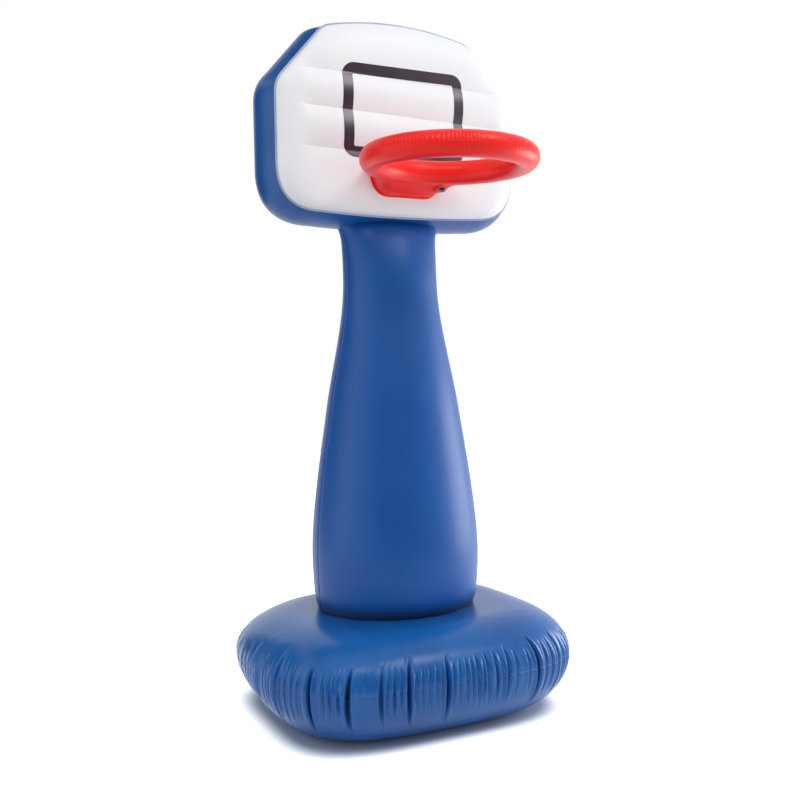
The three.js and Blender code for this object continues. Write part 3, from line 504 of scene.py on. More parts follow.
# Creases seen on the front: degrees round the base from +X, then depth, width and reach up and down in mm
seenCreases = (
    (168.2, 4, 4, 80, 100), (172.5, 3, 3, 70, 90), (176.0, 4, 4, 90, 110), (179.6, 3, 3, 80, 90),
    (182.5, 6, 4, 115, 130), (185.0, 3, 3, 85, 100), (187.0, 4, 3.5, 90, 110), (189.0, 3, 3, 80, 100),
    (192.0, 5, 4, 95, 115), (194.5, 3, 3, 80, 95), (197.0, 4, 3.5, 90, 110), (199.3, 3, 3, 80, 95),
    (201.5, 10, 4.5, 125, 140), (204.0, 3, 3, 80, 100), (206.2, 5, 4, 95, 115), (209.5, 4, 3.5, 80, 105),
    (212.0, 3, 3, 65, 85), (216.0, 15, 5, 85, 125), (220.8, 3.5, 3.5, 60, 75), (222.8, 3.5, 3.5, 60, 75),
    (225.2, 3, 3, 55, 65), (228.2, 15, 5, 85, 120), (233.0, 2.5, 3, 60, 60), (238.2, 8, 4.5, 90, 110),
    (240.2, 4, 3, 85, 80), (242.5, 5, 3.5, 80, 80), (244.9, 3, 3, 70, 70), (247.5, 11, 4.5, 105, 120),
    (250.0, 3, 3, 65, 65), (252.5, 3, 3.5, 70, 65), (255.2, 3, 3, 70, 65), (258.0, 3.5, 3.5, 75, 65),
    (260.3, 3, 3, 70, 65), (262.5, 10, 4.5, 100, 130), (265.0, 3.5, 3.5, 80, 70),
    (267.7, 3.5, 3.5, 80, 70),
    (270.8, 4, 3.5, 80, 70), (273.4, 3.5, 3.5, 85, 75), (275.8, 5, 4, 90, 80), (278.2, 3.5, 3.5, 85, 70),
    (280.2, 5.5, 4, 90, 80), (283.8, 5.5, 4, 90, 80), (286.4, 3.5, 3.5, 85, 75), (288.8, 6.5, 4, 95, 90),
    (292.3, 4, 3.5, 80, 75), (297.6, 3, 3.5, 75, 70), (301.8, 13, 5, 115, 125), (305.5, 4.5, 4, 90, 90),
    (308.6, 4.5, 3.5, 90, 90), (312.2, 9, 4.5, 105, 110), (315.8, 5, 4, 95, 100), (318.4, 4, 3.5, 80, 90),
    (320.8, 6, 4, 95, 100), (325.0, 6, 4, 95, 100),
)


def creaseTable():
    # the seen creases, then random ones round the back, closer together and deeper at its corners; a
    # deeper one is wider, 3.2 mm + 0.2 * depth, and reaches further, 50 mm + 6 * depth and a little more
    random = np.random.default_rng(base["seed"])
    rows, angle = list(seenCreases), base["backFrom"]
    while angle < base["backTo"]:
        corner = sum(bell(angle % 360 - place, width) for place, width in base["backCorners"])
        depth = random.choice(base["backDepths"], p=base["backChances"]) * (0.75 + 0.6 * corner)
        reach = 50 + depth * 6 + random.uniform(0, 20)
        rows.append((angle % 360, depth, 3.2 + 0.2 * depth, reach, reach + random.uniform(0, 25)))
        angle += random.uniform(3.4, 8.5) / (1 + 0.8 * corner)
    return np.array(rows, float)


creases = creaseTable()


def baseAngles():
    # columns of the base's grid, closer together at the front's creases, the deep ones and the valves
    middles = [seats[name].translation for name in ("base", "filler")]
    valves = [math.degrees(math.atan2(place.y + base["shift"], place.x)) % 360 for place in middles]
    deep = creases[creases[:, 1] > base["packFrom"], 0]
    packed = np.radians(np.unique([*creases[: len(seenCreases), 0], *deep, *valves]))
    around = np.concatenate([packed - 2 * math.pi, packed, packed + 2 * math.pi])
    steps = unevenSteps(0, 2 * math.pi, base["columns"], around, base["packWidth"], base["packGain"])
    return steps[:-1]


def turnBetween(angles, centre):
    # from -pi to pi
    return (angles - centre + math.pi) % (2 * math.pi) - math.pi


def baseRing(inset, angles, scale):
    # superellipse |x / a|^n + |y / b|^n = 1 by its polar angle, drawn in by the inset
    n = base["squareness"]
    halfX, halfY = (base[key] - inset for key in ("halfWidth", "halfDepth"))
    x, y = np.cos(angles), np.sin(angles)
    radius = scale * (np.abs(x / halfX) ** n + np.abs(y / halfY) ** n) ** (-1 / n)
    return radius * x, radius * y - base["shift"]


def baseGrid(side):
    # rows run from the seam over an elliptical rim, inset = reach * (1 - cos^f), height = seam + span *
    # sin, and then in to the middle; side is 1 for the top film and -1 for the bottom film
    angles = baseAngles()
    turns = np.linspace(0, math.pi / 2, base["rimRows"])[:, None]
    softer = base["softCorner"] * bell(turnBetween(angles, base["softAngle"]), base["softWidth"])
    insets = base["rimReach"] * (1 - np.maximum(np.cos(turns), 0) ** (base["rimFullness"] + softer))
    sag = base["seamSag"] * bell(turnBetween(angles, base["sagAngle"]), base["sagWidth"])
    seam, end = base["seamHeight"] - sag, base["height"] if side > 0 else 0.0
    insets, heights = (
        np.concatenate([rows, np.repeat(rows[-1:], len(base["flatShares"]), 0)])
        for rows in (insets, seam + (end - seam) * np.sin(turns))
    )
    shares = np.concatenate([np.ones(len(turns)), base["flatShares"]])
    points = stacked(*baseRing(insets, angles, shares[:, None]), heights)
    step = np.hypot(np.diff(insets.mean(1)), np.diff(heights.mean(1)))
    step = step + (np.diff(shares) != 0) * base["flatStep"]
    return angles, side * np.concatenate([[0], np.cumsum(step)]), points


def creaseDepth(angles, fromSeam, perimeter):
    # each crease is a narrow valley, depth * exp(-(|s| / w)^1.4), with a low swell, swell * depth *
    # exp(-((|s| - 2.4w) / 1.1w)^2), on both sides, and it fades along the rim by (1 - (v / reach)^2)^1.3;
    # ripples of 20 to 38 mm fill the gaps, and the seam lies in a notch
    random = np.random.default_rng(base["seed"] + 1)
    total = np.zeros((len(fromSeam), len(angles)))
    v = fromSeam[:, None]
    for degrees, depth, width, up, down in creases:
        lean = random.uniform(-0.12, 0.12) * v
        turn = turnBetween(angles[None, :] + lean, math.radians(degrees))
        s = np.abs(turn) * np.interp(math.radians(degrees), angles, perimeter)
        reach = np.where(v > 0, up, down) / 1000
        fade = np.maximum(1 - (v / reach) ** 2, 0) ** 1.3
        w = width / 1000 * (0.55 + 0.45 * fade)
        valley = np.exp(-((s / w) ** 1.4)) - base["swell"] * bell(s - 2.4 * w, 1.1 * w)
        total += base["creaseGain"] * depth / 1000 * fade * valley
    ripple = np.zeros(len(angles))
    for _ in range(base["rippleWaves"]):
        ripple += np.cos(random.integers(80, 150) * angles + random.uniform(0, 2 * math.pi))
    ripple = np.abs(ripple / base["rippleWaves"] ** 0.5) ** 1.3
    total += base["ripple"] * ripple * np.maximum(1 - (v / base["rippleReach"]) ** 2, 0) ** 1.5
    return total + base["seamNotch"] * np.exp(-np.abs(v) / base["seamNotchWidth"])


def baseFilm(name, side):
    angles, fromSeam, points = baseGrid(side)
    ring = points[0, :, :2]
    around = runningLength(np.concatenate([ring, ring[:1]]))
    turns = np.diff(np.append(angles, angles[0] + 2 * math.pi))
    middle = np.array([0, -base["shift"], base["seamHeight"]])
    normals = outwardNormals(points, middle)
    normals[0, :, 2] = 0  # the seam row is shared by both films
    normals[0] = unit(normals[0])
    depth = creaseDepth(angles, fromSeam, np.diff(around) / turns)
    points = points - depth[..., None] * normals
    points[..., 2] = np.maximum(points[..., 2], 0)
    valves = ("base", "filler") if side > 0 else ()
    # share of painted shade in the creases, from their depth
    fold = np.clip((depth - base["creaseShadeFrom"]) / base["creaseShadeSpan"], 0, 1)
    return surfaceMesh(name, points, gridUv(around, fromSeam), middle, True, True, valves, fold=fold)


addFilm(baseFilm("baseTopFilm", 1), baseFinish, "base_top_skin")
addFilm(baseFilm("baseBottomFilm", -1), baseFinish, "base_bottom_skin")
print("base films made:", len(creases), "creases")


# Board outline, which the column's head also needs
board = {
    "bottom": 1.491, "top": 2.062, "halfWidth": 0.388, "bottomBow": 0.008, "cornerReach": 0.128,
    "shoulder": 1.858, "archHalfWidth": 0.240, "archDrop": 0.030, "shoulderReach": 0.034,
    "archReach": 0.022, "seamFront": -0.0855, "depth": 0.190, "crest": 0.046,
    "grooves": (1.67115, 1.78815, 1.89515), "grooveDepth": 0.010, "grooveHalfLength": 0.345,
    "grooveFade": 0.060, "grooveSag": 0.003, "grooveLean": 0.025, "sideFullness": 8.5,
    "endFullness": 5.2, "bandBulge": 0.032, "bandTopBulge": 0.014, "middle": 1.78, "columns": 170,
    "packing": 0.92, "rows": (46, 34, 32, 44), "bandSteps": 30, "outlineSteps": 40, "bandColumns": 620,
}
seams = {-1: board["seamFront"], 1: board["seamFront"] + board["depth"]}  # by the way a film faces


def halfOutline():
    # right half of the board's weld line in x and z, from the middle of the bottom to the middle of the
    # top: quadratic curves, each one over three places of a path
    bottom, top, half = board["bottom"], board["top"], board["halfWidth"]
    corner = bottom + board["bottomBow"]
    flat = half - board["cornerReach"]
    archEnd = np.array([board["archHalfWidth"], top - board["archDrop"]])
    shoulder = np.array([half, board["shoulder"]])
    chamfer = (archEnd - shoulder) / np.linalg.norm(archEnd - shoulder)
    shoulderEnd = shoulder + chamfer * board["shoulderReach"]
    archStart = archEnd - chamfer * board["archReach"]
    archX = board["archHalfWidth"] - board["archReach"]
    archZ = top - board["archDrop"] * (archX / board["archHalfWidth"]) ** 2
    side = (half, corner + board["cornerReach"]), (half, board["shoulder"] - board["shoulderReach"])
    path = [
        (0, bottom), (flat / 2, bottom), (flat, corner), (half, corner), side[0], np.mean(side, 0),
        side[1], shoulder, shoulderEnd, (shoulderEnd + archStart) / 2, archStart, archEnd, (archX, archZ),
        (archX / 2, top), (0, top),
    ]
    share = evenShares(board["outlineSteps"], False)
    curves = [bezier(path[i : i + 3], share) for i in range(0, len(path) - 1, 2)]
    return np.concatenate([*curves, [(0, top)]])


outline = halfOutline()
steep = np.diff(outline[:, 1]) / np.maximum(np.abs(np.diff(outline[:, 0])), 1e-9)
lowEnd = int(np.argmax(steep > 1)) + 1  # where the lower edge turns into the side
highEnd = len(outline) - 1 - int(np.argmax(outline[::-1, 0] >= board["archHalfWidth"] - 1e-9))
lowHeight, highHeight = outline[lowEnd, 1], outline[highEnd, 1]
bulgeLimits = np.array([lowHeight, *board["grooves"], highHeight])


def sideAt(height):
    return np.interp(height, outline[lowEnd : highEnd + 1, 1], outline[lowEnd : highEnd + 1, 0])


def lowerEdge(x):
    return np.interp(np.abs(x), *outline[: lowEnd + 1].T)


def upperEdge(x):
    return np.interp(np.abs(x), *outline[highEnd:][::-1].T)


def edgePull(across, height):
    # how far a row is bent towards the lower or the upper edge: full at the edge, none at the first
    # groove; between the grooves the rows sag a little and lean down to the right, as in the photo
    lowBow = lowerEdge(across * sideAt(lowHeight)) - lowHeight
    highBow = upperEdge(across * sideAt(highHeight)) - highHeight
    lowShare = np.clip((bulgeLimits[1] - height) / (bulgeLimits[1] - lowHeight), 0, 1)
    highShare = np.clip((height - bulgeLimits[-2]) / (highHeight - bulgeLimits[-2]), 0, 1)
    x = across * sideAt(height)
    sag = (board["grooveSag"] + board["grooveLean"] * x) * (1 - np.abs(across) ** 12)
    return lowShare * lowBow + highShare * highBow - (1 - lowShare) * (1 - highShare) * sag


def swellAt(across, height):
    # crest * (1 - |a|^p)^0.5 * (1 - |b|^q)^0.5 over the sides and the ends, less 10 mm * place^2 in each
    # bulge, where place is -1 and 1 at the grooves; the grooves fade out before the sides
    b = 2 * (height - lowHeight) / (highHeight - lowHeight) - 1
    sides = np.sqrt(np.maximum(1 - np.abs(across) ** board["sideFullness"], 0))
    ends = np.sqrt(np.maximum(1 - np.abs(b) ** board["endFullness"], 0))
    x = np.abs(across) * sideAt(height)
    fade = smoothStep(0, board["grooveFade"], board["grooveHalfLength"] - x)
    limits = np.array([board["bottom"], *board["grooves"], board["top"]])
    i = np.clip(np.searchsorted(limits, height, side="right") - 1, 0, len(limits) - 2)
    place = 2 * (height - limits[i]) / (limits[i + 1] - limits[i]) - 1
    outer = ((i == 0) & (place < 0)) | ((i == len(limits) - 2) & (place > 0))
    dip = np.where(outer, 0, place**2) * board["grooveDepth"] * fade
    return sides * ends * (board["crest"] - dip)


def swellOver(x, z):
    # the same swell over a place on the board: its row is found by height = z - pull, six times over
    height = z
    for _ in range(6):
        across = x / sideAt(height)
        height = z - edgePull(across, height)
    return swellAt(np.clip(across, -1, 1), height)


def frontAt(x, z, above):
    # places on the front panel, a little above its film
    return stacked(x, board["seamFront"] - swellOver(x, z) - above, z)


def underBandAt(x, y):
    # height of the band's underside: the lower edge less bulge * sin(pi * share)
    share = np.clip((y - board["seamFront"]) / board["depth"], 0, 1)
    return lowerEdge(x) - board["bandBulge"] * np.sin(math.pi * share)


# Column: two films that are welded at the sides
column = {
    "foot": 0.2994, "footHalfWidth": 0.2465, "footHalfDepth": 0.2135, "head": 1.497, "belly": 0.259,
    "lean": 0.8, "boardCentre": 0.0095, "columns": 150, "packWidth": 0.10, "packGain": 2.5, "rows": 190,
    "rowPacking": 0.06, "weldDepth": 0.0028, "weldWidth": 0.0030, "firstTop": 1.46, "intoBand": 0.002,
    "footLift": 0.0004, "inside": (0, 0, 0.8),
}
# height share from foot to head, then half width and half depth as shares of the belly's radius
columnShares = np.array([
    (0.0, 0.9517, 0.8243), (0.02, 0.975, 0.9), (0.055, 0.99, 0.955), (0.132, 1.0, 1.0),
    (0.215, 0.983, 0.983), (0.295, 0.943, 0.943), (0.375, 0.893, 0.893), (0.455, 0.834, 0.834),
    (0.54, 0.773, 0.773), (0.635, 0.69, 0.686), (0.72, 0.618, 0.608), (0.8, 0.575, 0.545),
    (0.876, 0.571, 0.508), (0.925, 0.582, 0.46), (0.96, 0.61, 0.39), (1.0, 0.718, 0.2),
])


def columnPoint(angle, z):
    # ellipse whose half axes follow a spline up the column, with its middle moved back near the head
    share = np.clip((z - column["foot"]) / (column["head"] - column["foot"]), 0, 1)
    heights, *halves = columnShares.T
    wide, deep = (cubicThrough(heights, half, share) * column["belly"] for half in halves)
    lean = np.maximum(share - column["lean"], 0) / (1 - column["lean"])
    return wide * np.cos(angle), column["boardCentre"] * lean**2 + deep * np.sin(angle)


def columnFilm(name, side):
    # side is -1 for the front film and 1 for the rear one; each meridian ends on the band's underside
    welds = (0, math.pi / 2, math.pi)
    turns = unevenSteps(0, math.pi, column["columns"], welds, column["packWidth"], column["packGain"])
    angle = side * turns
    top = np.full_like(angle, column["firstTop"])
    for _ in range(8):
        top = underBandAt(*columnPoint(angle, top)) + column["intoBand"]
    share = evenShares(column["rows"])
    share = share - column["rowPacking"] * np.sin(2 * math.pi * share) / (2 * math.pi)
    z = column["foot"] + (top - column["foot"]) * share
    x, y = columnPoint(angle, z)
    points = stacked(x, y, z)
    fromWeld = np.minimum(turns, math.pi - turns) * np.hypot(x, y)
    tuck = column["weldDepth"] * np.exp(-fromWeld / column["weldWidth"])
    points = points - tuck[..., None] * unit(points * (1, 1, 0))
    valves = ("column",) if side > 0 else ()
    return surfaceMesh(name, points, stacked(z, fromWeld), column["inside"], valves=valves)


addFilm(columnFilm("columnFrontFilm", -1), columnFinish, "column_front_skin")
addFilm(columnFilm("columnRearFilm", 1), columnFinish, "column_rear_skin")


def lens(middle, half, count):
    # section of a weld's flat strip, 1.4 mm thick: how far out and how far up its places lie
    turn = fullTurn(count)[:, None]
    return middle + half * np.cos(turn), 0.0007 * np.sin(turn)


def roundStrip(name, points, length):
    # a closed strip: rows of places round its section, columns along its closed line; its UV map keeps
    # away from the pressed strip of the finish
    inside = points.mean(0)
    points = np.concatenate([points, points[:1]])
    uv = gridUv(np.linspace(0, length, points.shape[1] + 1), np.linspace(0.01, 0.02, len(points)))
    return surfaceMesh(name, points, uv, inside, wrap=True, poles=True)


def footWeld():
    # flat ring of the foot's weld, lying on the base: a lens section carried round the foot's ellipse
    out, up = lens(0.0008, 0.0032, 12)
    angle = fullTurn(240)
    x = (column["footHalfWidth"] + out) * np.cos(angle)
    y = (column["footHalfDepth"] + out) * np.sin(angle)
    return roundStrip("columnFootWeld", stacked(x, y, column["foot"] + column["footLift"] + up), 1.5)


# the weld strip is real; its near black colour is painted shade
addFilm(footWeld(), footWeldShadeFinish, wall=0.0)
print("column films made")


# Board: white front film, blue side band, blue rear film
def boardRows():
    # row heights, closer together beside the grooves and the edges
    limits = zip(bulgeLimits[:-1], bulgeLimits[1:], board["rows"])
    heights = [low + (high - low) * easedSteps(count + 1)[:-1] for low, high, count in limits]
    return np.concatenate([*heights, [highHeight]])


def boardFilm(name, facing):
    # rows follow the lower edge, the grooves and the arch; columns run from side to side
    turns = np.linspace(-1, 1, board["columns"] + 1) * math.pi / 2 * board["packing"]
    across, height = np.meshgrid(np.sin(turns) / math.sin(turns[-1]), boardRows())
    x = across * sideAt(height)
    z = height + edgePull(across, height)
    points = stacked(x, seams[facing] + facing * swellAt(across, height), z)
    toEnd = np.minimum(height - lowHeight, highHeight - height)
    fromEdge = np.minimum((1 - np.abs(across)) * board["halfWidth"], toEnd)
    fromGroove = np.abs(height[..., None] - np.array(board["grooves"])).min(-1)
    fromGroove += np.maximum(np.abs(x) - board["grooveHalfLength"] + board["grooveFade"] / 2, 0)
    uv = stacked(x, np.minimum(fromEdge, fromGroove))
    inside = (0, seams[facing] - facing * 0.1, board["middle"])
    return surfaceMesh(name, points, uv, inside, valves=("board",) if facing > 0 else ())


def weldLine():
    # the whole weld line at even distances, once round, with its outward normals and its length
    loop = np.concatenate([outline, outline[-2::-1] * (-1, 1)])
    far = runningLength(loop)
    at = np.linspace(0, far[-1], board["bandColumns"], endpoint=False)
    line = np.stack([np.interp(at, far, loop[:, i]) for i in (0, 1)], -1)
    along = unit(np.roll(line, -3, 0) - np.roll(line, 3, 0))
    return line, along[:, ::-1] * (1, -1), far[-1]


weldPlaces, weldOut, weldLength = weldLine()


def besideWeld(out, y):
    # the weld line moved out along its normals, at the depth y
    return stacked(weldPlaces[:, 0] + weldOut[:, 0] * out, y, weldPlaces[:, 1] + weldOut[:, 1] * out)


def bandFilm():
    # the weld line carried from the front to the rear and moved out along its normal by
    # bulge * sin(pi * share); the bulge is less where the normal points up
    share = easedSteps(board["bandSteps"] + 1)[:, None]
    upward = np.maximum(weldOut[:, 1], 0) ** 4
    bulge = board["bandBulge"] + (board["bandTopBulge"] - board["bandBulge"]) * upward
    out = np.sin(math.pi * share) * bulge
    points = besideWeld(out, seams[-1] + board["depth"] * share)
    fromWeld = np.minimum(share, 1 - share)[:, 0] * board["depth"]
    uv = gridUv(np.linspace(0, weldLength, len(weldPlaces) + 1), fromWeld)
    return surfaceMesh("boardBandFilm", points, uv, (0, 0, board["middle"]), wrap=True)


def boardWeld(name, facing):
    # the narrow strip that the heat seal leaves along the weld line, standing out 5 mm
    out, up = lens(0.0019, 0.0034, 10)
    return roundStrip(name, besideWeld(out, seams[facing] + up), weldLength)


web = {
    "halfLength": 0.330, "wall": 0.0007, "columns": 220, "rows": 64, "vents": 4, "ventRadius": 0.022,
    "clear": 0.0012,
}


def boardWeb(name, groove):
    # flat film across the chamber behind a groove, from the front film to the rear one, with round vents
    x = np.linspace(-web["halfLength"], web["halfLength"], web["columns"] + 1)
    across, height = x / sideAt(groove), np.full_like(x, groove)
    share = evenShares(web["rows"] + 1)
    swell = swellAt(across, height) - web["clear"]
    front, rear = seams[-1] - swell, seams[1] + swell
    points = stacked(x, front + (rear - front) * share, height + edgePull(across, height))
    holes = []
    for i in range(web["vents"]):
        at = 2 * web["halfLength"] * ((i + 0.5) / web["vents"] - 0.5)
        centre = (at, column["boardCentre"], groove - board["grooveSag"] - board["grooveLean"] * at)
        holes.append((Matrix.Translation(centre), web["ventRadius"]))
    return surfaceMesh(name, points, gridUv(x, share[:, 0] * 0.27 + 0.01), (0, 0, 3.0), holes=holes)


addFilm(boardFilm("boardFrontFilm", -1), whiteFinish, "board_front_skin")
addFilm(boardFilm("boardRearFilm", 1), blueRearFinish, "board_rear_skin")
addFilm(bandFilm(), bandFinish, "board_side_band")
for name, groove in zip(("lower", "middle", "upper"), board["grooves"]):
    webMesh = boardWeb("boardWeb" + name.capitalize(), groove)
    addFilm(webMesh, innerFinish, "board_web_" + name, wall=web["wall"])
addFilm(boardWeld("boardFrontWeld", -1), lipFinish, wall=0.0)
addFilm(boardWeld("boardRearWeld", 1), weldFinish, wall=0.0)


# Target frame, printed on the front film
target = {
    "halfWidth": 0.198, "bottom": 1.652, "top": 1.926, "bar": 0.032, "corner": 0.038,
    "above": 0.0004, "wall": 0.0003, "barSteps": 10, "sideSteps": 110, "cornerSteps": 10,
}


def targetFrame():
    # a rounded rectangle drawn in by 0 to the bar's width, laid on the front panel's swell
    quarter = evenShares(target["cornerSteps"], False)[:, 0] * math.pi / 2
    half, bottom, top, radius = (target[k] for k in ("halfWidth", "bottom", "top", "corner"))
    signs = np.array([(1, 0), (1, 1), (-1, 1), (-1, 0)])
    low, high = bottom + radius, top - radius
    centres = stacked(signs[:, 0] * (half - radius), np.where(signs[:, 1], high, low))
    share = evenShares(target["sideSteps"], False)
    middles, normals = [], []
    for i, centre in enumerate(centres):
        angle, end = quarter + (i - 1) * math.pi / 2, i * math.pi / 2
        following = centres[(i + 1) % 4]
        middles += [np.repeat([centre], len(angle), 0), centre * (1 - share) + following * share]
        normals += [stacked(np.cos(angle), np.sin(angle)), [(math.cos(end), math.sin(end))] * len(share)]
    middles, normals = np.concatenate(middles), np.concatenate(normals)
    drawn = np.linspace(0, target["bar"], target["barSteps"])[:, None, None]
    places = middles[None] + normals[None] * (radius - drawn)
    points = frontAt(places[..., 0], places[..., 1], target["above"])
    uv = gridUv(np.arange(len(middles) + 1) * 0.003, drawn[:, 0, 0])
    return surfaceMesh("targetFrame", points, uv, (0, 0.2, board["middle"]), wrap=True)


addFilm(targetFrame(), inkMaterial, "target_print", target["wall"])
print("board films and target frame made")


# Ring: two films that are welded on the outer and the inner line
ring = {
    "radius": 0.212, "tube": 0.035, "centre": (0.0, -0.396, 1.6015), "droop": 0.03,
    "steps": 1300, "rows": 30, "outerNotch": 0.0004, "innerNotch": 0.0003, "notchAngle": 0.05,
    "openDepth": 0.018, "openRadius": 0.0125, "wrinkleDepth": 0.0040, "wrinkles": 135, "seed": 11,
    "evenShare": 0.16, "phaseSwing": 0.9, "shareSwing": 0.08, "underShare": 0.35, "innerShare": 0.25,
}
# where the folds beside the outer weld are deepest: angle round the ring, half width and strength
deepFolds = ((4.24, 0.20, 0.9), (3.50, 0.20, 1.0), (2.75, 0.22, 0.5), (1.2, 0.3, 0.5), (5.6, 0.3, 0.6))


def ringPlace(points):
    # turned about X by the droop, then moved to the ring's centre
    cosine, sine = math.cos(ring["droop"]), math.sin(ring["droop"])
    x, y, z = np.moveaxis(points, -1, 0)
    return stacked(x, y * cosine - z * sine, y * sine + z * cosine) + ring["centre"]


def torusPoint(theta, psi, grow):
    # theta goes round the ring from +Y, psi round the tube from its outer side over the top
    tube = ring["tube"] + grow
    far = ring["radius"] + tube * np.cos(psi)
    return ringPlace(stacked(far * np.sin(theta), far * np.cos(theta), tube * np.sin(psi)))


def ringFilm(name, side):
    # folds cross the outer weld: |cos| of the angle round the ring, bent by a random phase, and they
    # fade out up the tube, over the last half of a reach that swings round 0.7 rad; fainter ones cross
    # the inner weld; both welds are low notches
    random = np.random.default_rng(ring["seed"] + side)
    theta = fullTurn(ring["steps"])
    psi = side * easedSteps(ring["rows"])[:, None] * math.pi
    phase, strength = np.zeros_like(theta), np.full_like(theta, ring["evenShare"])
    for order in range(2, 14):
        for total, swing in ((phase, ring["phaseSwing"]), (strength, ring["shareSwing"])):
            total += random.uniform(-1, 1) * np.cos(order * theta + random.uniform(0, 6.28)) * swing
    for centre, width, share in deepFolds:
        strength += share * bell(turnBetween(theta, centre), width)
    strength = np.clip(strength, 0.05, 1.2) * (1.0 if side > 0 else ring["underShare"])
    wave = np.abs(np.cos(ring["wrinkles"] / 2 * theta + phase)) ** 0.6
    fromOuter = np.abs(psi)
    fromInner = math.pi - fromOuter
    reach = 0.70 + 0.22 * np.cos(3 * theta + 1) + 0.12 * np.cos(29 * theta)
    window = smoothStep(0.0, 0.10, fromOuter) * (1 - smoothStep(0.45 * reach, reach, fromOuter))
    inner = smoothStep(0.0, 0.12, fromInner) * (1 - smoothStep(0.2, 0.5, fromInner))
    depth = ring["wrinkleDepth"] * strength * (window * (1 - wave) + ring["innerShare"] * inner * wave)
    depth = depth + ring["outerNotch"] * np.exp(-fromOuter / ring["notchAngle"])
    depth = depth + ring["innerNotch"] * np.exp(-fromInner / ring["notchAngle"])
    around = np.linspace(0, 2 * math.pi * ring["radius"], len(theta) + 1)
    uv = gridUv(around, np.minimum(fromOuter, fromInner + 0.05)[:, 0] * ring["tube"])
    under = seats["hoop"] @ Matrix.Translation((0, 0, -ring["openDepth"]))
    opening = [(under, ring["openRadius"])] if side < 0 else []  # inside the mount, where the flap swings
    tubeMiddle = torusPoint(theta, psi, -ring["tube"])
    return surfaceMesh(name, torusPoint(theta, psi, -depth), uv, tubeMiddle, wrap=True, holes=opening)


addFilm(ringFilm("ringTopFilm", 1), ringFinish, "hoop_top_skin")
addFilm(ringFilm("ringBottomFilm", -1), ringFinish, "hoop_bottom_skin")
print("ring films made")


# Mount: a padded sleeve from the board to the ring, with a flange that is welded to the board
mount = {
    # lower and upper half width, low and high end, lower and upper corner: on the board in metres, and on
    # the ring's tube in radians
    "foot": (0.110, 0.130, 1.5495, 1.6325, 0.052, 0.014), "land": (0.70, 0.70, -1.85, 1.35, 0.30, 0.20),
    "flange": 0.007, "flangeUnder": 0.004, "flangeWall": 0.0016, "leave": 0.075, "arrive": 0.050,
    "spread": 0.35, "footSink": 0.002, "landSink": 0.0004, "flangeLift": 0.0003, "flangeSteps": 9,
    "inside": (0, -0.16, 1.59), "behind": (0, 0.1, 1.59), "sideSteps": 26, "cornerSteps": 14, "rows": 44,
}


def roundedLoop(lowHalf, highHalf, low, high, lowCorner, highCorner):
    # once round a shape with a foot, two sides and a top, with quarter arcs at the corners, and its
    # normals; the count of points in each stretch is always the same
    share, quarter = (evenShares(mount[key], False) for key in ("sideSteps", "cornerSteps"))
    quarter = quarter * math.pi / 2
    foot = np.array([lowHalf - lowCorner, low + lowCorner])
    head = np.array([highHalf - highCorner, high - highCorner])
    east, north = np.eye(2)

    def line(a, b):
        return a + (b - a) * share

    def arc(centre, radius, a, b):
        return centre + radius * (np.cos(quarter) * a + np.sin(quarter) * b)

    right = np.concatenate([
        line(np.array([0, low]), foot - north * lowCorner),
        arc(foot, lowCorner, -north, east),
        line(foot + east * lowCorner, head + east * highCorner),
        arc(head, highCorner, east, north),
        line(head + north * highCorner, np.array([0, high])),
        [(0, high)],
    ])
    loop = np.concatenate([right, right[-2:0:-1] * (-1, 1)])
    along = unit(np.roll(loop, -1, 0) - np.roll(loop, 1, 0))
    return loop, along[:, ::-1] * (1, -1)


footLoop, footOut = roundedLoop(*mount["foot"])
landLoop, landOut = roundedLoop(*mount["land"])


def mountSleeve():
    # Hermite curves h00 a + h10 u + h01 b + h11 v from the foot on the board to a loop on the ring's
    # tube, where each one arrives along the tube's own surface
    start = frontAt(*footLoop.T, -mount["footSink"])
    end = torusPoint(*landLoop.T, -mount["landSink"])
    beyond = torusPoint(*(landLoop + landOut * 0.001).T, -mount["landSink"])
    arrive = unit(beyond - end) * mount["arrive"]
    leave = (stacked(footOut[:, 0], 0, footOut[:, 1]) * mount["spread"] + (0, -1, 0)) * mount["leave"]
    s = evenShares(mount["rows"])[..., None]
    points = (
        (2 * s**3 - 3 * s**2 + 1) * start
        + (s**3 - 2 * s**2 + s) * leave
        + (3 * s**2 - 2 * s**3) * end
        + (s**3 - s**2) * arrive
    )
    uv = gridUv(np.append(runningLength(footLoop), 0.42), np.linspace(0.0, 0.08, mount["rows"]))
    return surfaceMesh("mountSleeve", points, uv, mount["inside"], wrap=True, valves=("hoop",))


def mountFlange():
    # strip round the sleeve's foot, on the board: a low half lens carried round the outline
    share = evenShares(mount["flangeSteps"])
    out = (mount["flange"] + mount["flangeUnder"]) * share - mount["flangeUnder"]
    lift = mount["flangeLift"] + mount["flangeWall"] * np.sqrt(np.maximum(1 - share**6, 0))
    x, z = (footLoop[:, i] + footOut[:, i] * out for i in (0, 1))
    uv = gridUv(np.linspace(0, 0.45, len(footLoop) + 1), out[:, 0])
    return surfaceMesh("mountFlange", frontAt(x, z, lift), uv, mount["behind"], wrap=True)


addFilm(mountSleeve(), mountFinish, "hoop_mount_skin")
addFilm(mountFlange(), mountFinish, "hoop_mount_panel", 0.0004)
print("mount made")


# Valves: moulded parts, each made round its seat's axis
def softProfile(corners, radius, closed=True):
    # each corner of a profile replaced by a quadratic curve between the places a radius away from it
    corners = np.asarray(corners, float)
    count = len(corners)
    share = evenShares(5)
    places = []
    for i in range(count):
        here = corners[i]
        if not closed and i in (0, count - 1):
            places.append([here])
            continue
        ways = (corners[i - 1] - here, corners[(i + 1) % count] - here)
        first, second = (here + unit(way) * min(radius, np.linalg.norm(way) * 0.45) for way in ways)
        places.append(bezier((first, here, second), share))
    return np.concatenate(places)


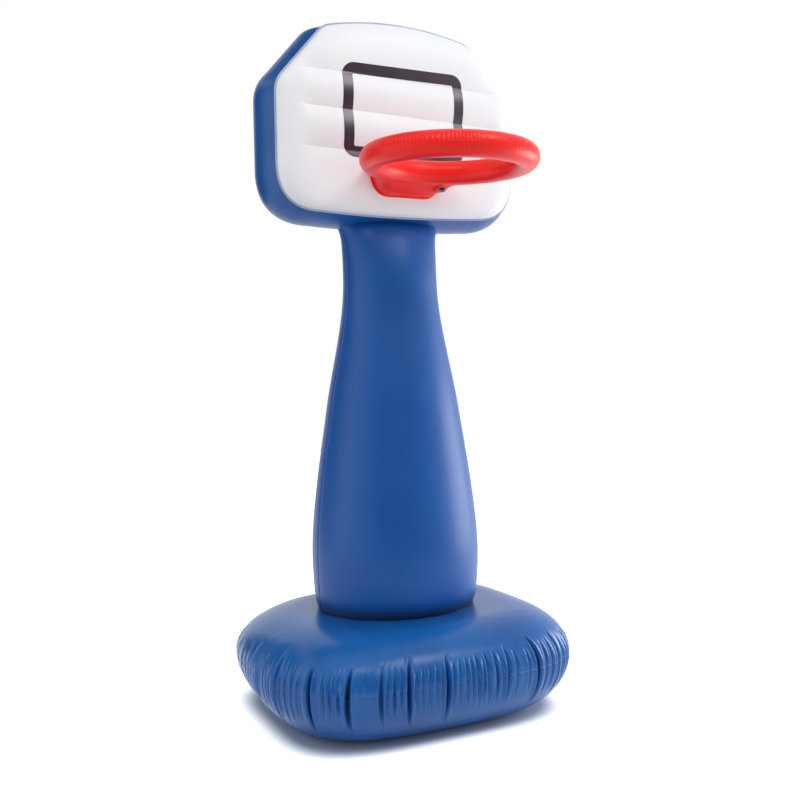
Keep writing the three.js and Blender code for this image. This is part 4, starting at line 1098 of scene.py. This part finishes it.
def placedMesh(name, parts, seat):
    # one mesh of several closed grids, moved from the seat's own frame to the part's
    work = bmesh.new()
    for points, uvs in parts:
        grid = surfaceMesh(name, points, uvs, (0, 0, 0), wrap=True, poles=True)
        work.from_mesh(grid)
        bpy.data.meshes.remove(grid)
    bmesh.ops.recalc_face_normals(work, faces=work.faces)
    mesh = bpy.data.meshes.new(name)
    work.to_mesh(mesh)
    work.free()
    mesh.transform(seat)
    mesh.shade_smooth()
    mesh.set_sharp_from_angle(angle=bendAngle)
    return mesh


def turnedPart(corners, radius, steps, closed=True, wave=None):
    # a profile of (radius, height) corners turned round Z; wave changes the radius with the angle
    profile = softProfile(corners, radius, closed)
    if closed:
        profile = np.concatenate([profile, profile[:1]])
    angle = fullTurn(steps)
    far, z = profile[:, :1], profile[:, 1:]
    if wave:
        far = wave(far, z, angle)
    points = stacked(far * np.cos(angle), far * np.sin(angle), z)
    return points, gridUv(np.linspace(0, 1, steps + 1), np.linspace(0, 1, len(profile)))


def barPart(path, halfWidth, halfWall, power=4.0):
    # a strip along a path in X and Z: a squared oval section, closed at both ends
    path = np.asarray(path, float)
    along = unit(np.gradient(path, axis=0))
    turn = fullTurn(24)
    wide, thick = (
        half * np.sign(wave) * np.abs(wave) ** (2 / power)
        for half, wave in ((halfWidth, np.cos(turn)), (halfWall, np.sin(turn)))
    )
    points = stacked(path[:, :1] - along[:, 1:] * thick, wide, path[:, 1:] + along[:, :1] * thick)
    ends = [np.repeat(points[i : i + 1].mean(1, keepdims=True), len(turn), 1) for i in (0, -1)]
    points = np.concatenate([ends[0], points, ends[1]])
    return points, gridUv(np.linspace(0, 1, len(turn) + 1), np.linspace(0, 1, len(points)))


clear = 0.00005  # between moulded parts that lie against each other
filmUnder = 0.0006  # how far a flange reaches into its film


def airBody():
    # a flange with a raised bead, and a tube through it
    v = airValve
    top = v["flangeWall"]
    corners = [
        (v["boreRadius"], -v["drop"]), (v["stemRadius"], -v["drop"]), (v["stemRadius"], -filmUnder),
        (v["flangeRadius"], -filmUnder), (v["flangeRadius"], top * 0.55),
        (v["flangeRadius"] - 0.0012, top), (0.0091, top), (0.0088, top + 0.0004),
        (0.0083, top + 0.0004), (0.0080, top), (v["stemRadius"], top), (v["stemRadius"], v["rise"]),
        (v["boreRadius"], v["rise"]),
    ]
    return [turnedPart(corners, 0.0003, v["steps"])]


def airStopper():
    # a plug with a rounded nose under a dished head, and a pull tab with a rounded end
    v = airValve
    under = v["rise"] + clear
    top, low = under + v["headWall"], under - v["plugLength"]
    plug = v["boreRadius"] - v["plugGap"]
    corners = [
        (0, low), (plug * 0.8, low), (plug, low + v["plugLength"] * 0.3), (plug, under),
        (v["headRadius"], under), (v["headRadius"], top), (0.0046, top), (0.0040, top - 0.0004),
        (0, top - 0.0004),
    ]
    tab = stacked(
        np.linspace(-v["headRadius"] - v["tabLength"], -v["headRadius"] / 2, 14), under + v["headWall"] / 4
    )
    return [
        turnedPart(corners, 0.0004, v["steps"], closed=False),
        barPart(tab, v["tabWidth"] / 2, v["headWall"] / 4),
    ]


def collar(inner, low, wall, height, steps):
    corners = [(inner, low), (inner + wall, low), (inner + wall, low + height), (inner, low + height)]
    return turnedPart(corners, 0.0003, steps)


def airTether():
    # a collar round the tube and a strip that loops out to the head's edge
    v = airValve
    low, inner = v["flangeWall"] + clear, v["stemRadius"] + clear
    start = (inner + v["collarWall"] / 2, low + v["collarHeight"] / 2)
    end = (v["headRadius"] + clear, v["rise"] + v["headWall"] / 2)
    out = v["tetherReach"]
    path = bezier((start, (start[0] + out, start[1]), (end[0] + out, end[1]), end), evenShares(40))
    return [
        collar(inner, low, v["collarWall"], v["collarHeight"], v["steps"]),
        barPart(path, v["tetherWidth"] / 2, v["tetherWall"] / 2),
    ]


def flapParts(sizes):
    # a thin disc under the tube with a bead round its edge
    radius, wall, top = sizes["flapRadius"], sizes["flapWall"], -sizes["drop"] - clear
    corners = [
        (0, top - wall * 0.7), (radius * 0.82, top - wall * 0.7), (radius * 0.86, top - wall),
        (radius, top - wall), (radius, top), (0, top),
    ]
    return [turnedPart(corners, wall * 0.3, 64, closed=False)]


moulded = {"valve_vinyl": valveMaterial, "cap_plastic": capMaterial}


def addMoulded(valve, name, parts, body, node, heights=(), slot="valve_vinyl"):
    # a moulded part on its valve's seat; given two heights over the seat, it is baked where it stands and
    # rides on no body
    seat = seats[valve]
    between = [seat @ Vector((0, 0, height)) for height in heights]
    addPiece(placedMesh(name, parts, seat), moulded[slot], body, node, between=between)


for name in airNames:
    stopper, bends = name + "_stopper", (0.0021, airValve["rise"] + 0.0004)
    addMoulded(name, name + "ValveBody", airBody(), "stand", name + "_valve_body")
    addMoulded(name, name + "ValveStopper", airStopper(), stopper, name + "_valve_stopper")
    addMoulded(name, name + "ValveTether", airTether(), stopper, name + "_valve_tether", bends)
    addMoulded(name, name + "ValveFlap", flapParts(airValve), name + "_flap", name + "_valve_flap")
print("air valves made:", len(airNames))


# Water filler
capTop = filler["rise"] + filler["capGap"] + filler["capWall"]
capOuter = filler["stemRadius"] + filler["capGap"] + filler["capWall"]
strapFrom = capOuter + filler["ribDepth"] + clear


def fillerNeck():
    # the thread is a groove in the neck, depth * (1 + cos) / 2 of its phase, height / pitch less the
    # angle's share of a turn, so that the cap's skirt clears it
    v = filler
    stem, flange, wall, rise = (v[key] for key in ("stemRadius", "flangeRadius", "flangeWall", "rise"))
    corners = [
        (v["boreRadius"], -v["drop"]), (stem, -v["drop"]), (stem, -filmUnder), (flange, -filmUnder),
        (flange, wall / 2), (flange - 0.002, wall), (0.0225, wall), (0.0222, 0.0019), (0.0214, 0.0019),
        (0.0211, wall), (stem, wall), *((stem, z) for z in np.linspace(0.0030, rise - 0.0012, 34)),
        (stem, rise), (v["boreRadius"], rise),
    ]

    def wave(far, z, angle):
        phase = 2 * math.pi * z / v["groovePitch"] - angle
        depth = v["groove"] * (1 + np.cos(phase)) / 2
        fade = smoothStep(0.0030, 0.0042, z) * (1 - smoothStep(rise - 0.003, rise - 0.0014, z))
        return far - depth * fade * (np.abs(far - stem) < 0.0002)

    return [turnedPart(corners, 0.0004, v["steps"], wave=wave)]


def fillerCap():
    # a skirt whose grip ribs are |cos| waves of the angle, a domed top, and a boss with a button
    v = filler
    inner, under = v["stemRadius"] + v["capGap"], v["rise"] + v["capGap"]
    low, boss = v["rise"] - v["skirtDrop"], capTop + v["bossHeight"]
    corners = [
        (0, under), (inner, under), (inner, low), (capOuter, low),
        *((capOuter, z) for z in np.linspace(low + 0.0008, capTop - 0.0014, 8)),
        (capOuter, capTop - 0.0008), (capOuter - 0.0012, capTop), (0.0120, capTop),
        (0.0112, capTop - 0.0005), (v["bossRadius"] + 0.001, capTop - 0.0005), (v["bossRadius"], capTop),
        (v["bossRadius"], boss), (v["buttonRadius"], boss),
        (v["buttonRadius"], boss + v["buttonHeight"]), (0, boss + v["buttonHeight"]),
    ]

    def wave(far, z, angle):
        rib = v["ribDepth"] * np.abs(np.cos(v["ribs"] / 2 * angle)) ** 0.8
        ends = smoothStep(low + 0.0003, low + 0.0012, z)
        ends = ends * (1 - smoothStep(capTop - 0.0016, capTop - 0.0006, z))
        return far + rib * ends * (far > v["ribbedFrom"])

    return [turnedPart(corners, 0.0004, v["steps"] * 2, closed=False, wave=wave)]


def fillerRing():
    # a ring round the cap's boss with a tongue out to the strap
    v = filler
    low, inner = capTop + clear, v["bossRadius"] + v["capGap"]
    tongue = stacked(np.linspace(inner + v["ringWall"] / 2, strapFrom, 16), low + v["ringHeight"] / 2)
    return [
        collar(inner, low, v["ringWall"], v["ringHeight"], 96),
        barPart(tongue, v["strapWidth"] / 2, v["ringHeight"] / 2, 6.0),
    ]


def fillerStrap():
    v = filler
    start = (strapFrom + clear, capTop + clear + v["ringHeight"] / 2)
    end = (v["flangeRadius"] - v["strapWall"], v["flangeWall"] + clear)
    out = v["strapReach"]
    path = bezier((start, (start[0] + out, start[1]), (end[0], end[1] + out), end), evenShares(60))
    return [barPart(path, v["strapWidth"] / 2, v["strapWall"] / 2)]


bends = (filler["flangeWall"] + 0.0006, filler["rise"] + 0.0030)
for name, parts, body, node, heights, slot in (
    ("Neck", fillerNeck(), "stand", "neck", (), "valve_vinyl"),
    ("Cap", fillerCap(), "filler_cap", "cap", (), "cap_plastic"),
    ("Ring", fillerRing(), "filler_carrier", "tether_ring", (), "cap_plastic"),
    ("Strap", fillerStrap(), "filler_carrier", "strap", bends, "cap_plastic"),
    ("Flap", flapParts(filler), "filler_flap", "flap", (), "valve_vinyl"),
):
    addMoulded("filler", "filler" + name, parts, body, "base_filler_" + node, heights, slot)
print("water filler made")


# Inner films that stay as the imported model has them
for name in ("base_tie_tube", "column_foot_disc", "column_head_panel"):
    innerMesh = frame["nodes"][name].data
    innerMesh.materials.clear()
    innerMesh.materials.append(innerFinish)


# Floor, lamps, background and camera
stage = {
    # the floor colour that the camera sees is darker and bluish: painted shade beside the base
    "floorHalf": 9.0, "seenFloorShade": (196, 206, 220), "floorBounce": (228, 228, 230),
    "liftFrom": 0.39, "liftTo": 0.482, "shadowShift": 0.015, "worldLight": 0.55,
    "lens": 43.2285, "cameraPlace": (-1.2778438, -2.7172150, 1.0233486),
    "yaw": 0.4476555, "pitch": -0.0292752, "roll": -0.0192730,
}
# name, place, aim, width, height, watts
lamps = (
    ("frontSoftbox", (1.36, -2.3, 4.05), (0.1, -0.1, 1.8), 1.1, 1.4, 29.0),
    ("rightSoftbox", (2.85, -0.55, 0.85), (0.0, 0.0, 0.85), 1.9, 1.4, 50.0),
    ("leftSoftbox", (-3.2, 0.3, 1.4), (0.0, 0.0, 1.0), 2.4, 3.0, 17.0),
    ("smallSoftbox", (0.56, -2.95, 3.55), (0.0, -0.2, 1.6), 0.7, 0.5, 9.0),
    ("topSoftbox", (-1.3, -2.5, 3.9), (0.0, -0.1, 1.2), 1.5, 1.1, 22.0),
)
# dark cards that only the glossy film mirrors, and no other ray meets: centre, half across, half up
cards = (
    ("cameraCard", (-2.6, -4.2, 2.2), (1.96, -1.21, 0.0), (0.0, 0.0, 2.2)),
    ("frontCard", (0.75, -4.85, 1.8), (1.35, 0.2, 0.0), (0.0, 0.0, 1.8)),
    ("rearCard", (-3.0, 3.4, 2.2), (1.5, 1.32, 0.0), (0.0, 0.0, 2.2)),
    ("upperCard", (-0.95, 1.8, 4.5), (1.3, 0.0, 0.0), (0.0, 1.0, 0.0)),
    ("floorCard", (-1.0, -2.3, 0.012), (0.75, 0.0, 0.0), (0.0, 0.75, 0.0)),
)


def backgroundShare(tree):
    # 1 for rays that should see the plain white background: camera, gloss and clear film
    path = tree.add("ShaderNodeLightPath").socket.node
    camera, *others = (path.outputs[f"Is {ray} Ray"] for ray in ("Camera", "Glossy", "Transmission"))
    total = Signal(tree, camera)
    for other in others:
        total = total.math("MAXIMUM", total, Signal(tree, other))
    return total


def makeWorld():
    world = bpy.context.scene.world = bpy.data.worlds.new("studio")
    tree = Tree(world)
    background = tree.nodes["Background"]
    background.inputs["Color"].default_value = (1, 1, 1, 1)
    values = {"Value": backgroundShare(tree), "To Min": stage["worldLight"], "To Max": 1.0}
    strength = tree.add("ShaderNodeMapRange", None, values)
    tree.links.new(strength.socket, background.inputs["Strength"])


def addSheet(name, centre, across, up, material):
    # a flat sheet of the stage: its centre and its half sides
    centre, across, up = (np.array(row, float) for row in (centre, across, up))
    corners = [centre - across - up, centre + across - up, centre + across + up, centre - across + up]
    mesh = bpy.data.meshes.new(name)
    mesh.from_pydata([tuple(corner) for corner in corners], [], [(0, 1, 2, 3)])
    mesh.materials.append(material)
    sheet = placed(name, mesh)
    return sheet


def floorPaper():
    # white paper: away from the base the camera sees it as plain white, and beside the base it keeps
    # the object's shadow, deepened by a painted shade in the darker bluish colour that the camera sees;
    # to the lamps' light it is a little darker, so less comes back up from it
    seen = Finish("floorPaper", 0.9, 0.1)
    seen.shader.inputs["Base Color"].default_value = linear(*stage["seenFloorShade"])
    x, y, _ = seen.split(seen.place())
    x, y = x + stage["shadowShift"], (y + base["shift"]) * (base["halfWidth"] / base["halfDepth"])
    lift = ((x**4.0 + y**4.0) ** 0.25).between(stage["liftFrom"], stage["liftTo"])
    glow = seen.add("ShaderNodeEmission", None, {"Color": (1, 1, 1, 1), "Strength": lift})
    lit = Signal(seen, seen.shader.outputs[0])
    both = seen.add("ShaderNodeAddShader", None, {0: lit, 1: glow})
    bounce = seen.add("ShaderNodeBsdfDiffuse", None, {"Color": linear(*stage["floorBounce"])})
    mixed = seen.add("ShaderNodeMixShader", None, {0: backgroundShare(seen), 1: bounce, 2: both})
    seen.links.new(mixed.socket, seen.nodes["Material Output"].inputs["Surface"])
    return seen.material


def makeSheets():
    half = stage["floorHalf"]
    addSheet("floor", (0, 0, 0), (half, 0, 0), (0, half, 0), floorPaper())
    cloth = Finish("darkCloth", 0.95, 0.0)
    cloth.shader.inputs["Base Color"].default_value = (0.02, 0.02, 0.022, 1.0)
    for name, centre, across, up in cards:
        card = addSheet(name, centre, across, up, cloth.material)
        card.visible_camera = card.visible_diffuse = card.visible_shadow = False


def makeLamps():
    for name, place, aim, width, height, watts in lamps:
        data = bpy.data.lights.new(name, "AREA")
        data.shape = "RECTANGLE"
        data.size, data.size_y, data.energy = width, height, watts
        lamp = placed(name, data)
        lamp.location = place
        lamp.visible_camera = False
        lamp.rotation_euler = (Vector(aim) - Vector(place)).to_track_quat("-Z", "Y").to_euler()


def makeCamera():
    # forward, right and up from yaw, pitch and roll, as the columns of the camera's matrix
    yaw, pitch, roll = stage["yaw"], stage["pitch"], stage["roll"]
    forward = Vector((math.sin(yaw) * math.cos(pitch), math.cos(yaw) * math.cos(pitch), math.sin(pitch)))
    right = Vector((math.cos(yaw), -math.sin(yaw), 0))
    up = right.cross(forward)
    tiltedRight = math.cos(roll) * right + math.sin(roll) * up
    tiltedUp = -math.sin(roll) * right + math.cos(roll) * up
    data = bpy.data.cameras.new("camera")
    data.lens, data.sensor_width, data.sensor_fit = stage["lens"], 36.0, "HORIZONTAL"
    data.clip_start, data.clip_end = 0.05, 60.0
    camera = placed("camera", data)
    turn = Matrix((tiltedRight, tiltedUp, -forward)).transposed().to_4x4()
    camera.matrix_world = Matrix.Translation(stage["cameraPlace"]) @ turn
    bpy.context.scene.camera = camera


makeWorld()
makeSheets()
makeLamps()
makeCamera()
bpy.context.scene.view_settings.view_transform = "Standard"
print("floor, lamps, background and camera set")
